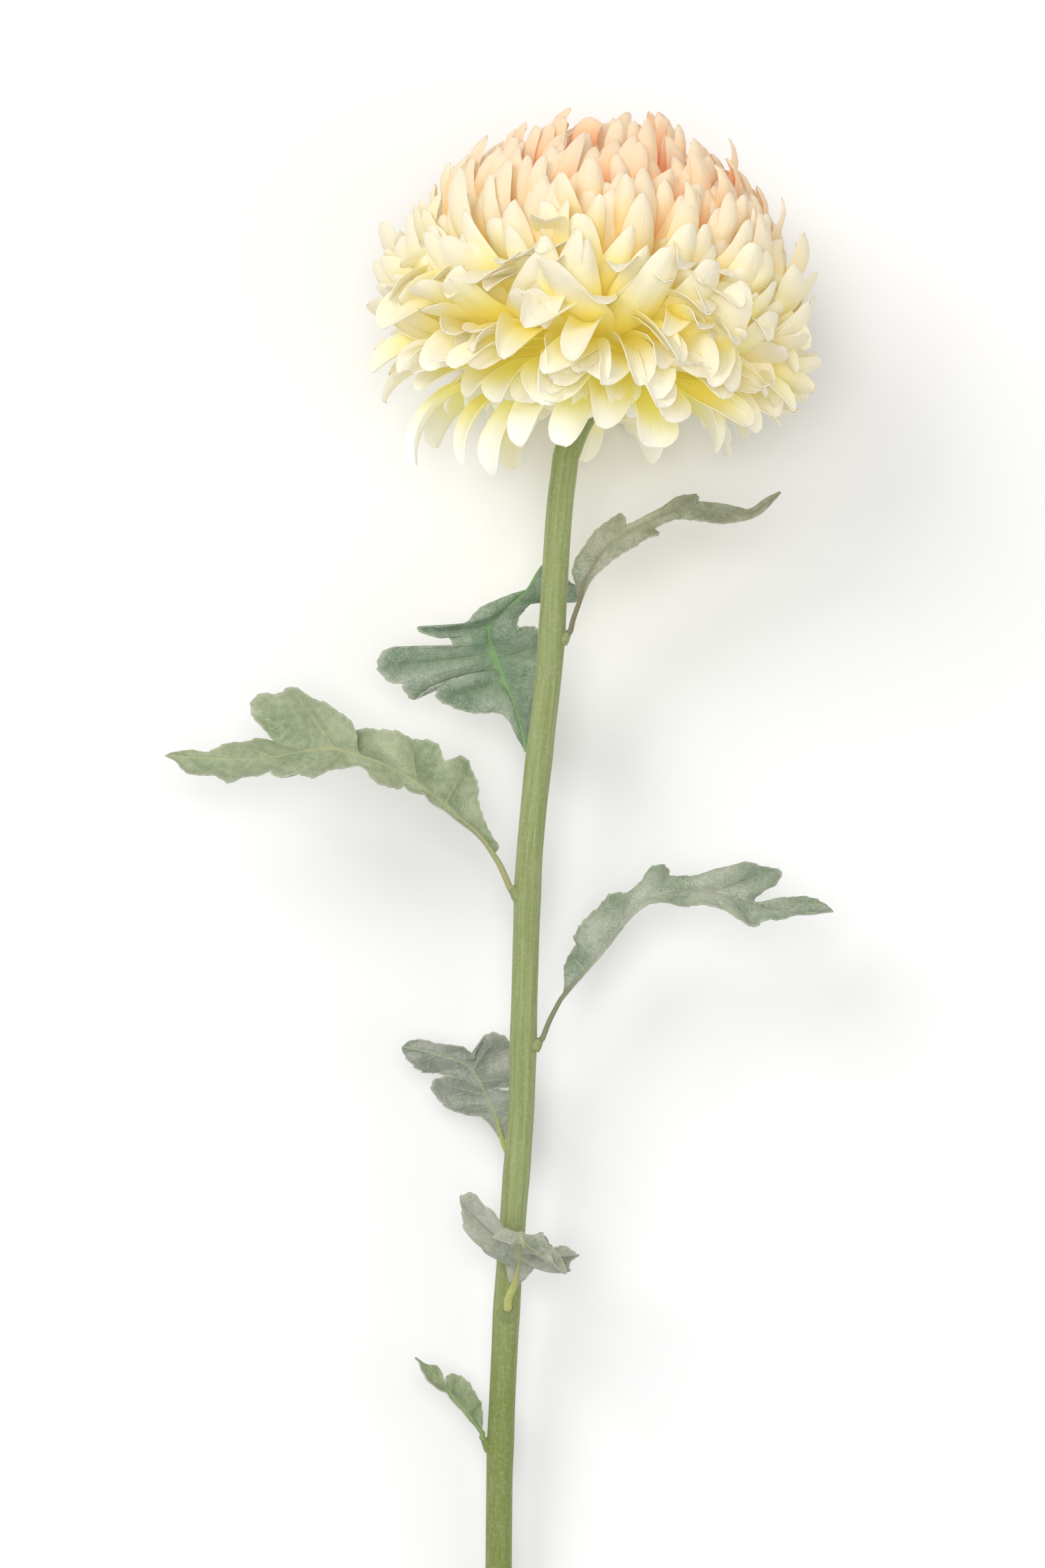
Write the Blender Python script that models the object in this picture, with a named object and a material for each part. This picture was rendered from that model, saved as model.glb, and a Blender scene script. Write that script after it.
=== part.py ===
# Pompon chrysanthemum, one long artificial stem lying on its side.
# +X points to the flower's right, +Y up the stem to the head, +Z up off the surface.
# Lengths are worked out in millimetres in the plane of the stem and set down in metres.

import math
import random

import bmesh
import bpy
import numpy as np

MM = 0.001
SHARP_ANGLE = math.radians(40.0)

# Stem
STEM_RADIUS = 4.4
STEM_SIDES = 10
NUB_SIDES = 7
CUT_END = -87.0
STEM_LINE = (
    (-8.0, CUT_END), (-8.0, -40.0), (-7.8, 0.0), (-7.5, 33.0), (-6.7, 54.0), (-5.1, 87.0),
    (-2.7, 120.0), (-0.9, 142.0), (-0.2, 153.0), (0.6, 185.0), (1.2, 207.0), (2.0, 230.0),
    (3.8, 250.0), (6.3, 272.0), (8.9, 294.0), (10.2, 315.0), (11.4, 337.0), (13.0, 355.0),
    (15.2, 365.0),
)
NUB_ROOT = 2.5
NUB_FLARE = 0.6
NUB_RIM = 0.3
NUB_CLEAR = 0.35
NUB_LEAST = 1.0
JOINT_GAP = 0.3

# Head
HEAD_CENTRE = np.array((23.0, 398.3, 0.0))
HEAD_LEAN = math.radians(9.5)
HEAD_HEIGHT = 68.0
HEAD_SKIRT = 23.0
CORE_RADIUS = 21.0
CORE_FLOOR = -16.0
CUP_RADIUS = 9.0
ROOT_RADIUS = 16.5
BORDER_ROOT = math.radians(56.0)
BORDER_BEND = math.radians(-9.0)
BORDER_GAP = 0.35
RAY_COUNT = 164
RAY_FIRST = math.radians(52.0)
RAY_LAST = math.radians(142.0)
CROWN_COUNT = 76
CROWN_LAST = math.radians(42.0)
TIP_ANGLES = (0.0, 20.0, 42.0, 52.0, 70.0, 88.0, 104.0, 122.0, 142.0)
ROOT_ANGLES = (0.0, 24.0, 50.0, 62.0, 83.0, 92.0, 98.0, 110.0, 126.0)
PETAL_HALF_THICKNESS = 0.55
PLACED_CLEAR = 8.5
PLACED_TIPS = (
    (17.0, 362.0, 36.0), (-8.0, 355.5, 22.0), (41.5, 361.0, 31.0), (0.0, 366.0, 34.0),
    (99.0, 393.5, 4.0), (-48.0, 440.0, -3.0), (-51.5, 424.0, 5.0), (-49.0, 394.0, 3.0),
    (-46.5, 383.0, 12.0), (-39.0, 366.5, -2.0), (-23.0, 361.0, 8.0), (64.5, 363.0, 9.0),
    (82.0, 366.5, 2.0), (97.0, 422.0, -2.0), (94.0, 434.0, 8.0), (28.0, 368.0, 40.0),
    (79.0, 372.0, 16.0), (87.0, 379.0, -8.0), (17.0, 364.0, -38.0), (-7.0, 360.0, -28.0),
    (40.0, 363.0, -33.0), (64.0, 366.0, -22.0), (-32.0, 368.0, -22.0), (2.0, 369.0, -41.0),
    (76.0, 373.0, -20.0),
)
GOLDEN_ANGLE = math.pi * (3.0 - math.sqrt(5.0))
PETAL_STATIONS = (0.0, 0.35, 0.68, 0.93)

# Leaves
BLADE_HALF_THICKNESS = 0.36
BLADE_BOW = 0.10
BLADE_COLUMNS = (-1.0, -0.5, 0.0, 0.5, 1.0)
PETIOLE_SIDES = 6
PETIOLE_NECK = 0.78
FOOT_ELBOW = 0.35
ELBOW_LENGTH = 0.9

# The stem's line is tipped up so that the head lies on its petals and the cut end on the surface.
TIP_UP = math.asin((HEAD_HEIGHT - STEM_RADIUS) / (HEAD_CENTRE[1] - CUT_END))
ORIGIN = np.array((-7.47, 192.27))


def place(points):
    """Turn millimetres in the stem's plane (right, up the stem, towards the front) into metres."""
    points = np.atleast_2d(np.asarray(points, float))
    sine, cosine = math.sin(TIP_UP), math.cos(TIP_UP)
    along = points[:, 1] - CUT_END
    x = points[:, 0] - ORIGIN[0]
    y = along * cosine - points[:, 2] * sine + CUT_END - ORIGIN[1]
    z = along * sine + (points[:, 2] + STEM_RADIUS) * cosine
    return np.stack((x, y, z), axis=1) * MM


def unit(vector):
    return vector / max(np.linalg.norm(vector), 1e-9)


def smoothstep(low, high, value):
    x = np.clip((value - low) / (high - low), 0.0, 1.0)
    return x * x * (3.0 - 2.0 * x)


def make_object(name, points, faces):
    """One closed mesh from points in millimetres in the stem's plane."""
    mesh = bpy.data.meshes.new(name)
    mesh.from_pydata([tuple(p) for p in place(points)], [], faces)
    mesh.validate()
    build = bmesh.new()
    build.from_mesh(mesh)
    bmesh.ops.recalc_face_normals(build, faces=build.faces)
    if build.calc_volume(signed=True) < 0.0:
        bmesh.ops.reverse_faces(build, faces=build.faces)
    bmesh.ops.triangulate(build, faces=[f for f in build.faces if len(f.verts) > 3])
    build.to_mesh(mesh)
    build.free()
    obj = bpy.data.objects.new(name, mesh)
    bpy.context.scene.collection.objects.link(obj)
    return obj


def paint(obj, colour, roughness):
    material = bpy.data.materials.new(obj.name)
    material.use_nodes = True
    shader = material.node_tree.nodes["Principled BSDF"]
    shader.inputs["Base Color"].default_value = (*colour, 1.0)
    shader.inputs["Roughness"].default_value = roughness
    obj.data.materials.clear()
    obj.data.materials.append(material)
    obj.data.shade_smooth()
    obj.data.set_sharp_from_angle(angle=SHARP_ANGLE)


def keep_largest(obj):
    """Drop loose scraps and inner shells that a union can leave."""
    build = bmesh.new()
    build.from_mesh(obj.data)
    build.verts.ensure_lookup_table()
    seen = set()
    groups = []
    for start in build.verts:
        if start.index in seen:
            continue
        seen.add(start.index)
        queue = [start]
        group = []
        while queue:
            vertex = queue.pop()
            group.append(vertex)
            for edge in vertex.link_edges:
                other = edge.other_vert(vertex)
                if other.index not in seen:
                    seen.add(other.index)
                    queue.append(other)
        groups.append(group)
    groups.sort(key=len, reverse=True)
    scraps = [v for group in groups[1:] for v in group]
    bmesh.ops.delete(build, geom=scraps, context="VERTS")
    bmesh.ops.triangulate(build, faces=[f for f in build.faces if len(f.verts) > 3])
    build.to_mesh(obj.data)
    build.free()
    print(obj.name, "triangles", len(obj.data.polygons), "scraps", [len(g) for g in groups[1:]])


def unite(base, tools):
    """Fuse the tools with the base in one union, which needs every one of them closed."""
    group = bpy.data.collections.new(base.name + "_tools")
    bpy.context.scene.collection.children.link(group)
    for tool in tools:
        group.objects.link(tool)
        bpy.context.scene.collection.objects.unlink(tool)
    step = base.modifiers.new("union", "BOOLEAN")
    step.operation = "UNION"
    step.operand_type = "COLLECTION"
    step.collection = group
    step.solver = "MANIFOLD"
    graph = bpy.context.evaluated_depsgraph_get()
    mesh = bpy.data.meshes.new_from_object(base.evaluated_get(graph))
    base.modifiers.clear()
    base.data = mesh
    for tool in list(group.objects):
        bpy.data.objects.remove(tool)
    bpy.data.collections.remove(group)
    keep_largest(base)


# Tubes: the stem, its nubs and the leaf stalks


def tube(line, radii, sides):
    """Rings of points along a line, closed at both ends."""
    line = [np.asarray(p, float) for p in line]
    points = []
    faces = []
    side = None
    for i, centre in enumerate(line):
        ahead = line[min(i + 1, len(line) - 1)] - line[max(i - 1, 0)]
        ahead = unit(ahead)
        if side is None:
            side = np.array((0.0, 0.0, 1.0)) if abs(ahead[2]) < 0.8 else np.array((1.0, 0.0, 0.0))
        side = unit(side - ahead * side.dot(ahead))
        up = np.cross(ahead, side)
        for k in range(sides):
            angle = 2.0 * math.pi * k / sides
            points.append(centre + radii[i] * (math.cos(angle) * side + math.sin(angle) * up))
    for i in range(len(line) - 1):
        for k in range(sides):
            a = i * sides + k
            b = i * sides + (k + 1) % sides
            faces.append((a, b, b + sides, a + sides))
    faces.append(tuple(range(sides)))
    faces.append(tuple(range((len(line) - 1) * sides, len(line) * sides)))
    return points, faces


def stem_at(height):
    """The stem's middle at a height up the stem."""
    heights = [p[1] for p in STEM_LINE]
    return np.array((np.interp(height, heights, [p[0] for p in STEM_LINE]), height, 0.0))


# Leaves


def leaf_foot(leaf):
    """Where a stalk leaves the stem: skin point, way out, and how far out its nub ends."""
    foot, lead = np.array(leaf["stalk"], float)
    stem_way = unit(stem_at(foot[1] + 5.0) - stem_at(foot[1] - 5.0))
    away = foot - stem_at(foot[1])
    outward = unit(away - stem_way * away.dot(stem_way))
    way = unit(unit(lead - foot) + FOOT_ELBOW * outward)
    lean = abs(way.dot(stem_way))
    rise = math.sqrt(1.0 - lean * lean)
    out = np.linalg.norm(away) - STEM_RADIUS
    height = (NUB_CLEAR + leaf["petiole"] * lean - out) / rise
    return foot, way, max(height, NUB_LEAST)


def blade_rows(leaf):
    """Grid of the blade's middle surface; each row runs from the near edge over the rib to the far."""
    rows = np.array(leaf["rows"], float)
    rib = rows[:, :3]
    ahead = np.gradient(rib, axis=0)
    columns = {0.0: rib}
    for flat, slope, side in ((rows[:, 3:5], leaf["slopes"][0], 1.0), (rows[:, 5:7], leaf["slopes"][1], -1.0)):
        depth = rib[:, 2] + slope * np.linalg.norm(flat - rib[:, :2], axis=1)
        edge = np.column_stack((flat, depth))
        over = np.cross(ahead, edge - rib) * side
        over /= np.maximum(np.linalg.norm(over, axis=1, keepdims=True), 1e-9)
        bow = BLADE_BOW * np.linalg.norm(edge - rib, axis=1, keepdims=True)
        columns[side] = edge
        columns[0.5 * side] = 0.5 * (rib + edge) + bow * over
    return np.stack([columns[place_across] for place_across in BLADE_COLUMNS], axis=1)


def make_leaf(leaf):
    grid = blade_rows(leaf)
    rows, columns = grid.shape[:2]
    normal = np.cross(np.gradient(grid, axis=0), np.gradient(grid, axis=1))
    normal /= np.maximum(np.linalg.norm(normal, axis=2, keepdims=True), 1e-9)
    upper = (grid + normal * BLADE_HALF_THICKNESS).reshape(-1, 3)
    lower = (grid - normal * BLADE_HALF_THICKNESS).reshape(-1, 3)
    points = list(upper) + list(lower)
    shift = rows * columns
    faces = []
    for i in range(rows - 1):
        for j in range(columns - 1):
            a = i * columns + j
            b, c, d = a + 1, a + columns + 1, a + columns
            corners = ((a, b, c), (a, c, d)) if j >= columns // 2 else ((a, b, d), (b, c, d))
            for face in corners:
                faces.append(face)
                faces.append(tuple(v + shift for v in reversed(face)))
    rim = [i * columns for i in range(rows)]
    rim += [(rows - 1) * columns + j for j in range(1, columns)]
    rim += [i * columns + columns - 1 for i in range(rows - 2, -1, -1)]
    rim += [j for j in range(columns - 2, 0, -1)]
    for a, b in zip(rim, rim[1:] + rim[:1]):
        faces.append((a, b, b + shift, a + shift))
    blade = make_object(leaf["name"], points, faces)
    foot, way, height = leaf_foot(leaf)
    start = foot + way * (height + JOINT_GAP)
    thick = leaf["petiole"]
    thin = PETIOLE_NECK * thick
    rib = grid[:, columns // 2]
    line = [start, start + way * ELBOW_LENGTH, np.array(leaf["stalk"][1]), rib[0], rib[1], rib[2]]
    radii = [thick, thick, 0.5 * (thick + thin), thin, thin, 0.7 * thin]
    stalk = make_object(leaf["name"] + "_stalk", *tube(line, radii, PETIOLE_SIDES))
    unite(blade, [stalk])
    paint(blade, leaf["colour"], 0.9)
    return blade


# Every leaf: how thick its stalk is, how its two halves rise towards the front per millimetre out,
# its stalk from the stem's skin, and rows from the base to the tip. A row holds the rib (right, up,
# front) and then where the far edge and the near edge are (right, up).
LEAVES = (
    {
        "name": "leaf_upper_right", "colour": (0.27, 0.29, 0.2),
        "petiole": 1.0, "slopes": (-0.5, 0.6),
        "stalk": ((14.2, 304.0, 1.0), (16.6, 309.5, 2.2)),
        "rows": (
            (19.1, 316.6, 3.5, 18.7, 316.9, 19.6, 316.2), (22, 324.7, 4.8, 16.4, 325.1, 23.8, 323.3),
            (25.2, 329.8, 5.3, 19.4, 332, 27.4, 326.5), (28.8, 333.8, 5.8, 25.2, 339.2, 31.6, 329.4),
            (31.6, 335.9, 6, 31, 343.7, 35.7, 332.1), (33.4, 337, 6, 33.7, 342.1, 39.7, 334.5),
            (35.2, 338.1, 5.9, 33, 339.7, 43, 335.9), (38.3, 339.9, 5.4, 38.8, 342.1, 44.4, 337.4),
            (42.4, 341.7, 5, 46.1, 346.1, 43, 338.7), (50.6, 344.6, 3.2, 56, 350.6, 50.6, 341.7),
            (54.2, 345.4, 2, 57.6, 349.3, 54.2, 341.6), (57.5, 345.4, 0.7, 57.3, 347.7, 58.2, 341),
            (70.9, 343.6, -1.3, 73, 345.4, 72.3, 341.4), (75.9, 344.6, -2, 75.9, 346.3, 77.4, 343.4),
            (84.1, 351.2, -2, 83.9, 351.3, 84.3, 350.8),
        ),
    },
    {
        "name": "leaf_upper_left", "colour": (0.19, 0.27, 0.18),
        "petiole": 1.1, "slopes": (0.05, -0.05),
        "stalk": ((5.2, 262.0, -4.0), (4.2, 266.0, -6.0)),
        "rows": (
            (1.3, 266.7, -8, 0.6, 266.7, 2.2, 267.1), (-1.6, 278, -9, -5, 276.9, 6.7, 275.8),
            (-3.4, 283.4, -9.5, -8.8, 279.1, 9, 280.3), (-4.5, 285.9, -10.1, -14.6, 278.5, 10, 283.9),
            (-6.1, 289.9, -11.1, -27, 282.7, 11.4, 290.3), (-6.7, 291.2, -11.6, -28.4, 285.4, 11.6, 293),
            (-7.2, 292.3, -12.1, -27.7, 287.8, 11.8, 294.8), (-7.9, 294.3, -13.2, -36, 283.8, 11.8, 298.4),
            (-8.7, 296.4, -14, -39.6, 288.3, 10, 302.2), (-9, 297.5, -14, -44, 289.2, 7.8, 304.4),
            (-9.4, 298.6, -14, -47.4, 293.4, 5.5, 306.2), (-9.7, 299.7, -14, -46.9, 297.9, 3.5, 307.3),
            (-10.1, 300.8, -14, -42.2, 300.6, 1.3, 307.5), (-10.8, 303, -14, -24.4, 300.1, -1.6, 307.7),
            (-11, 304.4, -14, -23.7, 303.7, -1.8, 309.1), (-10.7, 307.3, -13.6, -33.8, 305.5, -0.1, 312),
            (-9.9, 308.8, -13.3, -34, 307.1, 1.3, 313.5), (-8.8, 310.2, -13.1, -26.4, 307.3, 3.1, 315.3),
            (-7, 312, -12.8, -19.7, 308.4, 6.7, 316.6), (-4.9, 313.8, -12.5, -13.7, 313.5, 12.5, 316.4),
            (-2.7, 315.7, -12.3, -7, 316.7, 17.2, 315.3), (-0.5, 317.5, -12, -1.1, 318.7, 18.7, 317.5),
            (1.3, 319.3, -11.8, 1.3, 319.6, 17.6, 320.4), (6.4, 327.2, -11, 6.2, 327.4, 7.1, 327.2),
        ),
    },
    {
        "name": "leaf_left_arching", "colour": (0.33, 0.42, 0.27),
        "petiole": 1.2, "slopes": (-0.55, 0.9),
        "stalk": ((-2.6, 220.5, 1.5), (-7.0, 228.5, 3.5)),
        "rows": (
            (-9.6, 232.9, 5, -8.8, 233.4, -10.1, 232.5), (-12.8, 237.4, 5.7, -7.8, 235.2, -13.2, 236.7),
            (-18.6, 243.2, 7.1, -12.6, 244.3, -20.4, 243.2), (-25.5, 248.8, 9.3, -17.7, 263.1, -28.4, 249),
            (-27.3, 250.3, 10, -20.8, 264.7, -30.6, 250.8),
            (-28.9, 251.5, 10.7, -24.4, 263.7, -32.4, 252.6),
            (-30.6, 252.8, 11.3, -26.8, 268.2, -33.8, 252.2),
            (-34.6, 255.9, 12.2, -36.7, 270.5, -38.2, 255.5),
            (-38.9, 258.9, 13.1, -45.8, 274.2, -41.4, 254.1),
            (-44.3, 261.8, 13.6, -57.8, 271.3, -48.7, 257.7),
            (-47.6, 263.1, 13.8, -56.7, 269.6, -51.6, 260.9),
            (-50.9, 264.2, 14, -54.9, 267.8, -54.5, 261.7), (-53.9, 265.1, 14, -53.8, 272.2, -57.6, 261.3),
            (-55.8, 265.7, 14, -56.7, 277.2, -60.3, 260.6), (-57.2, 266, 14, -61.7, 281.2, -63, 259.5),
            (-60.7, 266.7, 13.6, -75.1, 286.7, -70.8, 258.4),
            (-62.8, 266.9, 13.1, -85.3, 285.2, -75.5, 258.9),
            (-63.9, 266.9, 12.7, -89.3, 282.3, -77.3, 259.1),
            (-65, 266.9, 12.2, -88.9, 278.7, -78.8, 259.3),
            (-67.5, 266.7, 11.3, -81.7, 270.5, -80.9, 259.7),
            (-87.5, 263.3, 8.6, -98.7, 267.8, -94.3, 256.1),
            (-107.4, 264.2, 5.9, -112.5, 266.6, -109.9, 260),
            (-116.1, 264.6, 4, -116.3, 264.7, -115.9, 264.4),
        ),
    },
    {
        "name": "leaf_right_forked", "colour": (0.34, 0.4, 0.3),
        "petiole": 1.0, "slopes": (-0.55, 0.7),
        "stalk": ((5.2, 171.5, 1.5), (9.0, 179.0, 2.4)),
        "rows": (
            (12.6, 185.8, 3, 12.3, 186.1, 13.1, 185.5), (14.5, 188.3, 3.5, 13.6, 188.9, 15, 187.7),
            (18.4, 192.8, 4.5, 13.6, 196.4, 18.9, 192.2), (22.4, 197.5, 5.5, 17.6, 203.2, 23, 196.9),
            (24.3, 199.7, 6, 16.7, 206, 25.1, 199), (26.1, 202, 6.5, 18.9, 209.1, 26.9, 201.4),
            (31, 208.2, 8, 28.8, 219.5, 31.9, 207.7), (33.8, 211.9, 9, 34.2, 220.2, 35, 211.6),
            (35, 213.6, 9.2, 34.7, 217.4, 36.9, 213.5), (36.4, 215.2, 9.5, 34.5, 219.8, 38.7, 215),
            (38.1, 216.7, 9.8, 38.1, 223.4, 40.9, 216.6), (40, 218, 10, 41.2, 227.3, 43.7, 217),
            (41.8, 218.9, 10.2, 44.9, 229.3, 46.8, 217), (43.7, 219.7, 10.5, 47.3, 228.7, 49.9, 216.7),
            (45.7, 220.3, 10.8, 48, 225.9, 53, 216.4), (48, 220.8, 11, 52.2, 225.4, 55.8, 216.1),
            (58.3, 221.1, 11, 72.6, 229.6, 64.8, 214.9), (62.3, 220.5, 10.5, 82.8, 228.1, 68.5, 211.9),
            (64.2, 220.2, 10.2, 84.5, 226.4, 70.9, 211.3), (66.1, 219.7, 10, 82.8, 223.1, 73.2, 210.7),
            (70.1, 218.1, 9, 75.1, 217.8, 77.4, 210.4), (73.2, 216.6, 8.5, 77.9, 216.7, 79.7, 211),
            (81.7, 214.7, 7, 89.5, 219.1, 86.6, 212.4), (87.2, 214.4, 6, 94.2, 218.4, 90.6, 213.2),
            (101.1, 214.4, 4, 101, 214.6, 101.3, 214.3),
        ),
    },
    {
        "name": "leaf_middle_left", "colour": (0.27, 0.33, 0.24),
        "petiole": 1.1, "slopes": (0.1, 0.1),
        "stalk": ((-3.0, 128.0, -3.6), (-4.6, 134.0, -5.6)),
        "rows": (
            (-6.5, 138.5, -7, -5.8, 138.8, -7.1, 138.8), (-8.6, 146.4, -8.8, -3.4, 147.8, -13.8, 147),
            (-10.2, 150.1, -10, -3, 152.5, -22.3, 148.4), (-11.4, 152.6, -11.1, -4.9, 155.1, -29.4, 154.8),
            (-12, 153.7, -11.6, -7.2, 155.4, -29.8, 157.9), (-12.7, 154.8, -12, -9.3, 155.9, -26.6, 159.6),
            (-13.1, 155.7, -12.4, -7.2, 156.2, -22, 159.1),
            (-13.6, 156.6, -12.6, -4.1, 156.6, -17.3, 156.5),
            (-14.8, 159, -12.9, -2.1, 162.9, -20.7, 158.8), (-16.1, 161, -13, -4, 171.2, -23.9, 160.1),
            (-16.7, 161.8, -13, -7.7, 174, -25.4, 160.4), (-17.5, 162.5, -13, -11.4, 173.7, -27, 160.5),
            (-18.4, 163.3, -12.7, -14.1, 170.9, -28.4, 160.7),
            (-20.7, 164.7, -12.1, -16.1, 165.3, -31, 161), (-25.1, 166.3, -11, -19.7, 169.7, -34.4, 162.2),
            (-34.4, 168.6, -9.2, -32.5, 171.9, -38.9, 167.2),
            (-37.5, 169.2, -8.6, -36.6, 171.6, -39.4, 168.8),
            (-39.4, 169.7, -8, -39.4, 169.8, -39.5, 169.5),
        ),
    },
    {
        "name": "leaf_front_low", "colour": (0.36, 0.39, 0.31),
        "petiole": 1.45, "slopes": (-0.35, -0.35),
        "stalk": ((-5.0, 84.0, 4.6), (-4.6, 88.5, 7.6)),
        "rows": (
            (-2.8, 92.7, 10, -3.6, 92.9, -1.6, 92.6), (-1.9, 96.8, 14, -5.7, 100.1, 1, 95.6),
            (-1.3, 100, 18, -12.2, 104.2, 7, 101.3), (-1, 103, 23, -18.7, 113.4, 15, 99.1),
            (-1, 103.8, 24.5, -20, 116.6, 15.6, 101.3), (-0.9, 104.6, 26, -20.2, 120.4, 18.2, 102.3),
            (-0.9, 105.3, 27.5, -19.5, 122.8, 17.5, 104.5), (-0.8, 106.8, 30.5, -14.9, 123.4, 13.1, 107),
            (-0.7, 107.5, 32, -12, 121.4, 10.2, 107), (-0.6, 109.2, 34, -7.6, 113.4, 8, 109.6),
            (-0.6, 110.3, 35, -5.5, 112.9, 5.8, 111.2), (-0.4, 111.9, 36.8, -5.2, 113, 6.6, 111.4),
            (-0.2, 110.3, 40, -9.5, 110.9, 10.9, 105.8), (0, 109.2, 40.5, -7.9, 109.9, 14.4, 98.6),
            (0.2, 108.6, 40.7, -5.7, 109.1, 10.5, 101.3), (0.6, 107.5, 40.2, -1.2, 108.8, 5.5, 108),
            (0.8, 107.7, 39.9, 0.3, 107.9, 2, 108),
        ),
    },
    {
        "name": "leaf_bottom_left", "colour": (0.27, 0.35, 0.22),
        "petiole": 1.0, "slopes": (-0.55, 0.8),
        "stalk": ((-11.8, 41.0, 1.0), (-13.0, 44.0, 1.6)),
        "rows": (
            (-13.9, 45.2, 2, -13.3, 45.3, -14.4, 45), (-18.6, 51.2, 3.2, -13.6, 54.2, -19.3, 51.1),
            (-21.4, 54.5, 4, -17.3, 60.4, -22.5, 54.5), (-23.7, 57.1, 4, -22.3, 63.5, -24.8, 57.7),
            (-24.6, 58.2, 4, -24.6, 63, -27, 58.7), (-25.6, 59.3, 4, -24.9, 60.8, -29.1, 60.1),
            (-27.6, 61.6, 3.8, -26.6, 64.9, -31.6, 63.2), (-35, 68.8, 3, -35, 68.9, -35.2, 68.6),
        ),
    },
)


# Petals

AXIS = np.array((math.sin(HEAD_LEAN), math.cos(HEAD_LEAN), 0.0))
RIGHT = np.array((math.cos(HEAD_LEAN), -math.sin(HEAD_LEAN), 0.0))
FRONT = np.array((0.0, 0.0, 1.0))


def head_frame(theta, phi):
    """Outward, away-from-the-top and round-about directions at a place on the head."""
    flat = np.outer(np.cos(phi), RIGHT) + np.outer(np.sin(phi), FRONT)
    outward = np.cos(theta)[:, None] * AXIS + np.sin(theta)[:, None] * flat
    away = -np.sin(theta)[:, None] * AXIS + np.cos(theta)[:, None] * flat
    about = -np.outer(np.sin(phi), RIGHT) + np.outer(np.cos(phi), FRONT)
    return outward, away, about


def bend_share(s):
    """How much of a petal's bend is reached at s: little near the root, most near the tip."""
    return 0.25 * s + 0.75 * s**3


def petal_profile(s):
    """Half width along a petal: a narrow claw, widest past the middle, a round tip."""
    rise = 0.20 + 0.80 * smoothstep(0.08, 0.66, s)
    fall = np.sqrt(np.clip(1.0 - (np.clip(s - 0.62, 0.0, 1.0) / 0.38) ** 2.8, 0.0, 1.0))
    return rise * fall


def petal_spine(petal, s):
    radius = ROOT_RADIUS + (petal["reach"] - ROOT_RADIUS) * s
    theta = petal["root"] + petal["bend"] * bend_share(s)
    phi = petal["phi"] + petal["sway"] * np.maximum(s, 0.0) ** 1.5
    outward, away, about = head_frame(theta, phi)
    return HEAD_CENTRE + radius[:, None] * outward, about


def petal_middle(petal, s, t):
    """Points of a petal's middle surface and its normals; s runs to the tip and t across."""
    s, t = np.asarray(s, float), np.asarray(t, float)
    spine, about = petal_spine(petal, s)
    ahead = petal_spine(petal, s + 0.01)[0] - petal_spine(petal, s - 0.01)[0]
    ahead /= np.linalg.norm(ahead, axis=1, keepdims=True)
    face = np.cross(about, ahead)
    half = petal["half"] * petal_profile(s)
    x = half * t
    y = petal["cup"] * half * t * t + petal["hook"] * np.clip(s - 0.66, 0.0, 1.0) ** 2
    roll = (petal["roll"] * s)[:, None]
    wide = about * np.cos(roll) + face * np.sin(roll)
    face = face * np.cos(roll) - about * np.sin(roll)
    return spine + x[:, None] * wide + y[:, None] * face, face


def border_angle(radius):
    s = np.clip((radius - ROOT_RADIUS) / (75.0 - ROOT_RADIUS), 0.0, 1.1)
    return BORDER_ROOT + BORDER_BEND * bend_share(s)


def keep_to_side(points, crown, margin):
    """Hold points on their own side of the line between the crown and the rest."""
    away = points - HEAD_CENTRE
    radius = np.linalg.norm(away, axis=1)
    height = away @ AXIS
    flat = away - height[:, None] * AXIS
    spread = np.linalg.norm(flat, axis=1)
    theta = np.arctan2(spread, height)
    limit = border_angle(radius) + (-margin if crown else margin) / radius
    held = np.minimum(theta, limit) if crown else np.maximum(theta, limit)
    sideways = flat / np.maximum(spread, 1e-6)[:, None]
    turned = np.cos(held)[:, None] * AXIS + np.sin(held)[:, None] * sideways
    return np.where((held != theta)[:, None], HEAD_CENTRE + radius[:, None] * turned, points)


def petal_solid(petal, crown):
    """A petal with a rhombic cross-section that ends in a single tip point."""
    stations = np.array(PETAL_STATIONS)
    left, _ = petal_middle(petal, stations, -np.ones(4))
    right, _ = petal_middle(petal, stations, np.ones(4))
    middle, normals = petal_middle(petal, stations, np.zeros(4))
    lift = normals * PETAL_HALF_THICKNESS
    tip, _ = petal_middle(petal, np.array((1.0,)), np.zeros(1))
    points = []
    for i in range(4):
        points += [left[i], middle[i] + lift[i], right[i], middle[i] - lift[i]]
    points.append(tip[0])
    points = keep_to_side(np.array(points), crown, petal["margin"])
    faces = [(3, 2, 1, 0)]
    for i in range(3):
        for k in range(4):
            a = 4 * i + k
            b = 4 * i + (k + 1) % 4
            faces += [(a, b, b + 4), (a, b + 4, a + 4)]
    for k in range(4):
        faces.append((12 + k, 12 + (k + 1) % 4, 16))
    return points, faces


def head_reach(theta, phi):
    """How far petals reach from the middle of the head."""
    side = math.sin(theta) * math.cos(phi)
    low = float(smoothstep(math.radians(84.0), math.radians(135.0), theta))
    reach = 75.5 - 17.0 * low - (0.5 + 4.0 * low) * side
    if theta > math.radians(100.0):
        reach = min(reach, (HEAD_SKIRT - 4.0 * side) / -math.cos(theta))
    return reach


def tip_place(point):
    """Polar angle, turn and distance of a point seen from the middle of the head."""
    away = np.asarray(point, float) - HEAD_CENTRE
    reach = float(np.linalg.norm(away))
    theta = math.acos(away.dot(AXIS) / reach)
    return theta, math.atan2(away.dot(FRONT), away.dot(RIGHT)), reach


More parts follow.
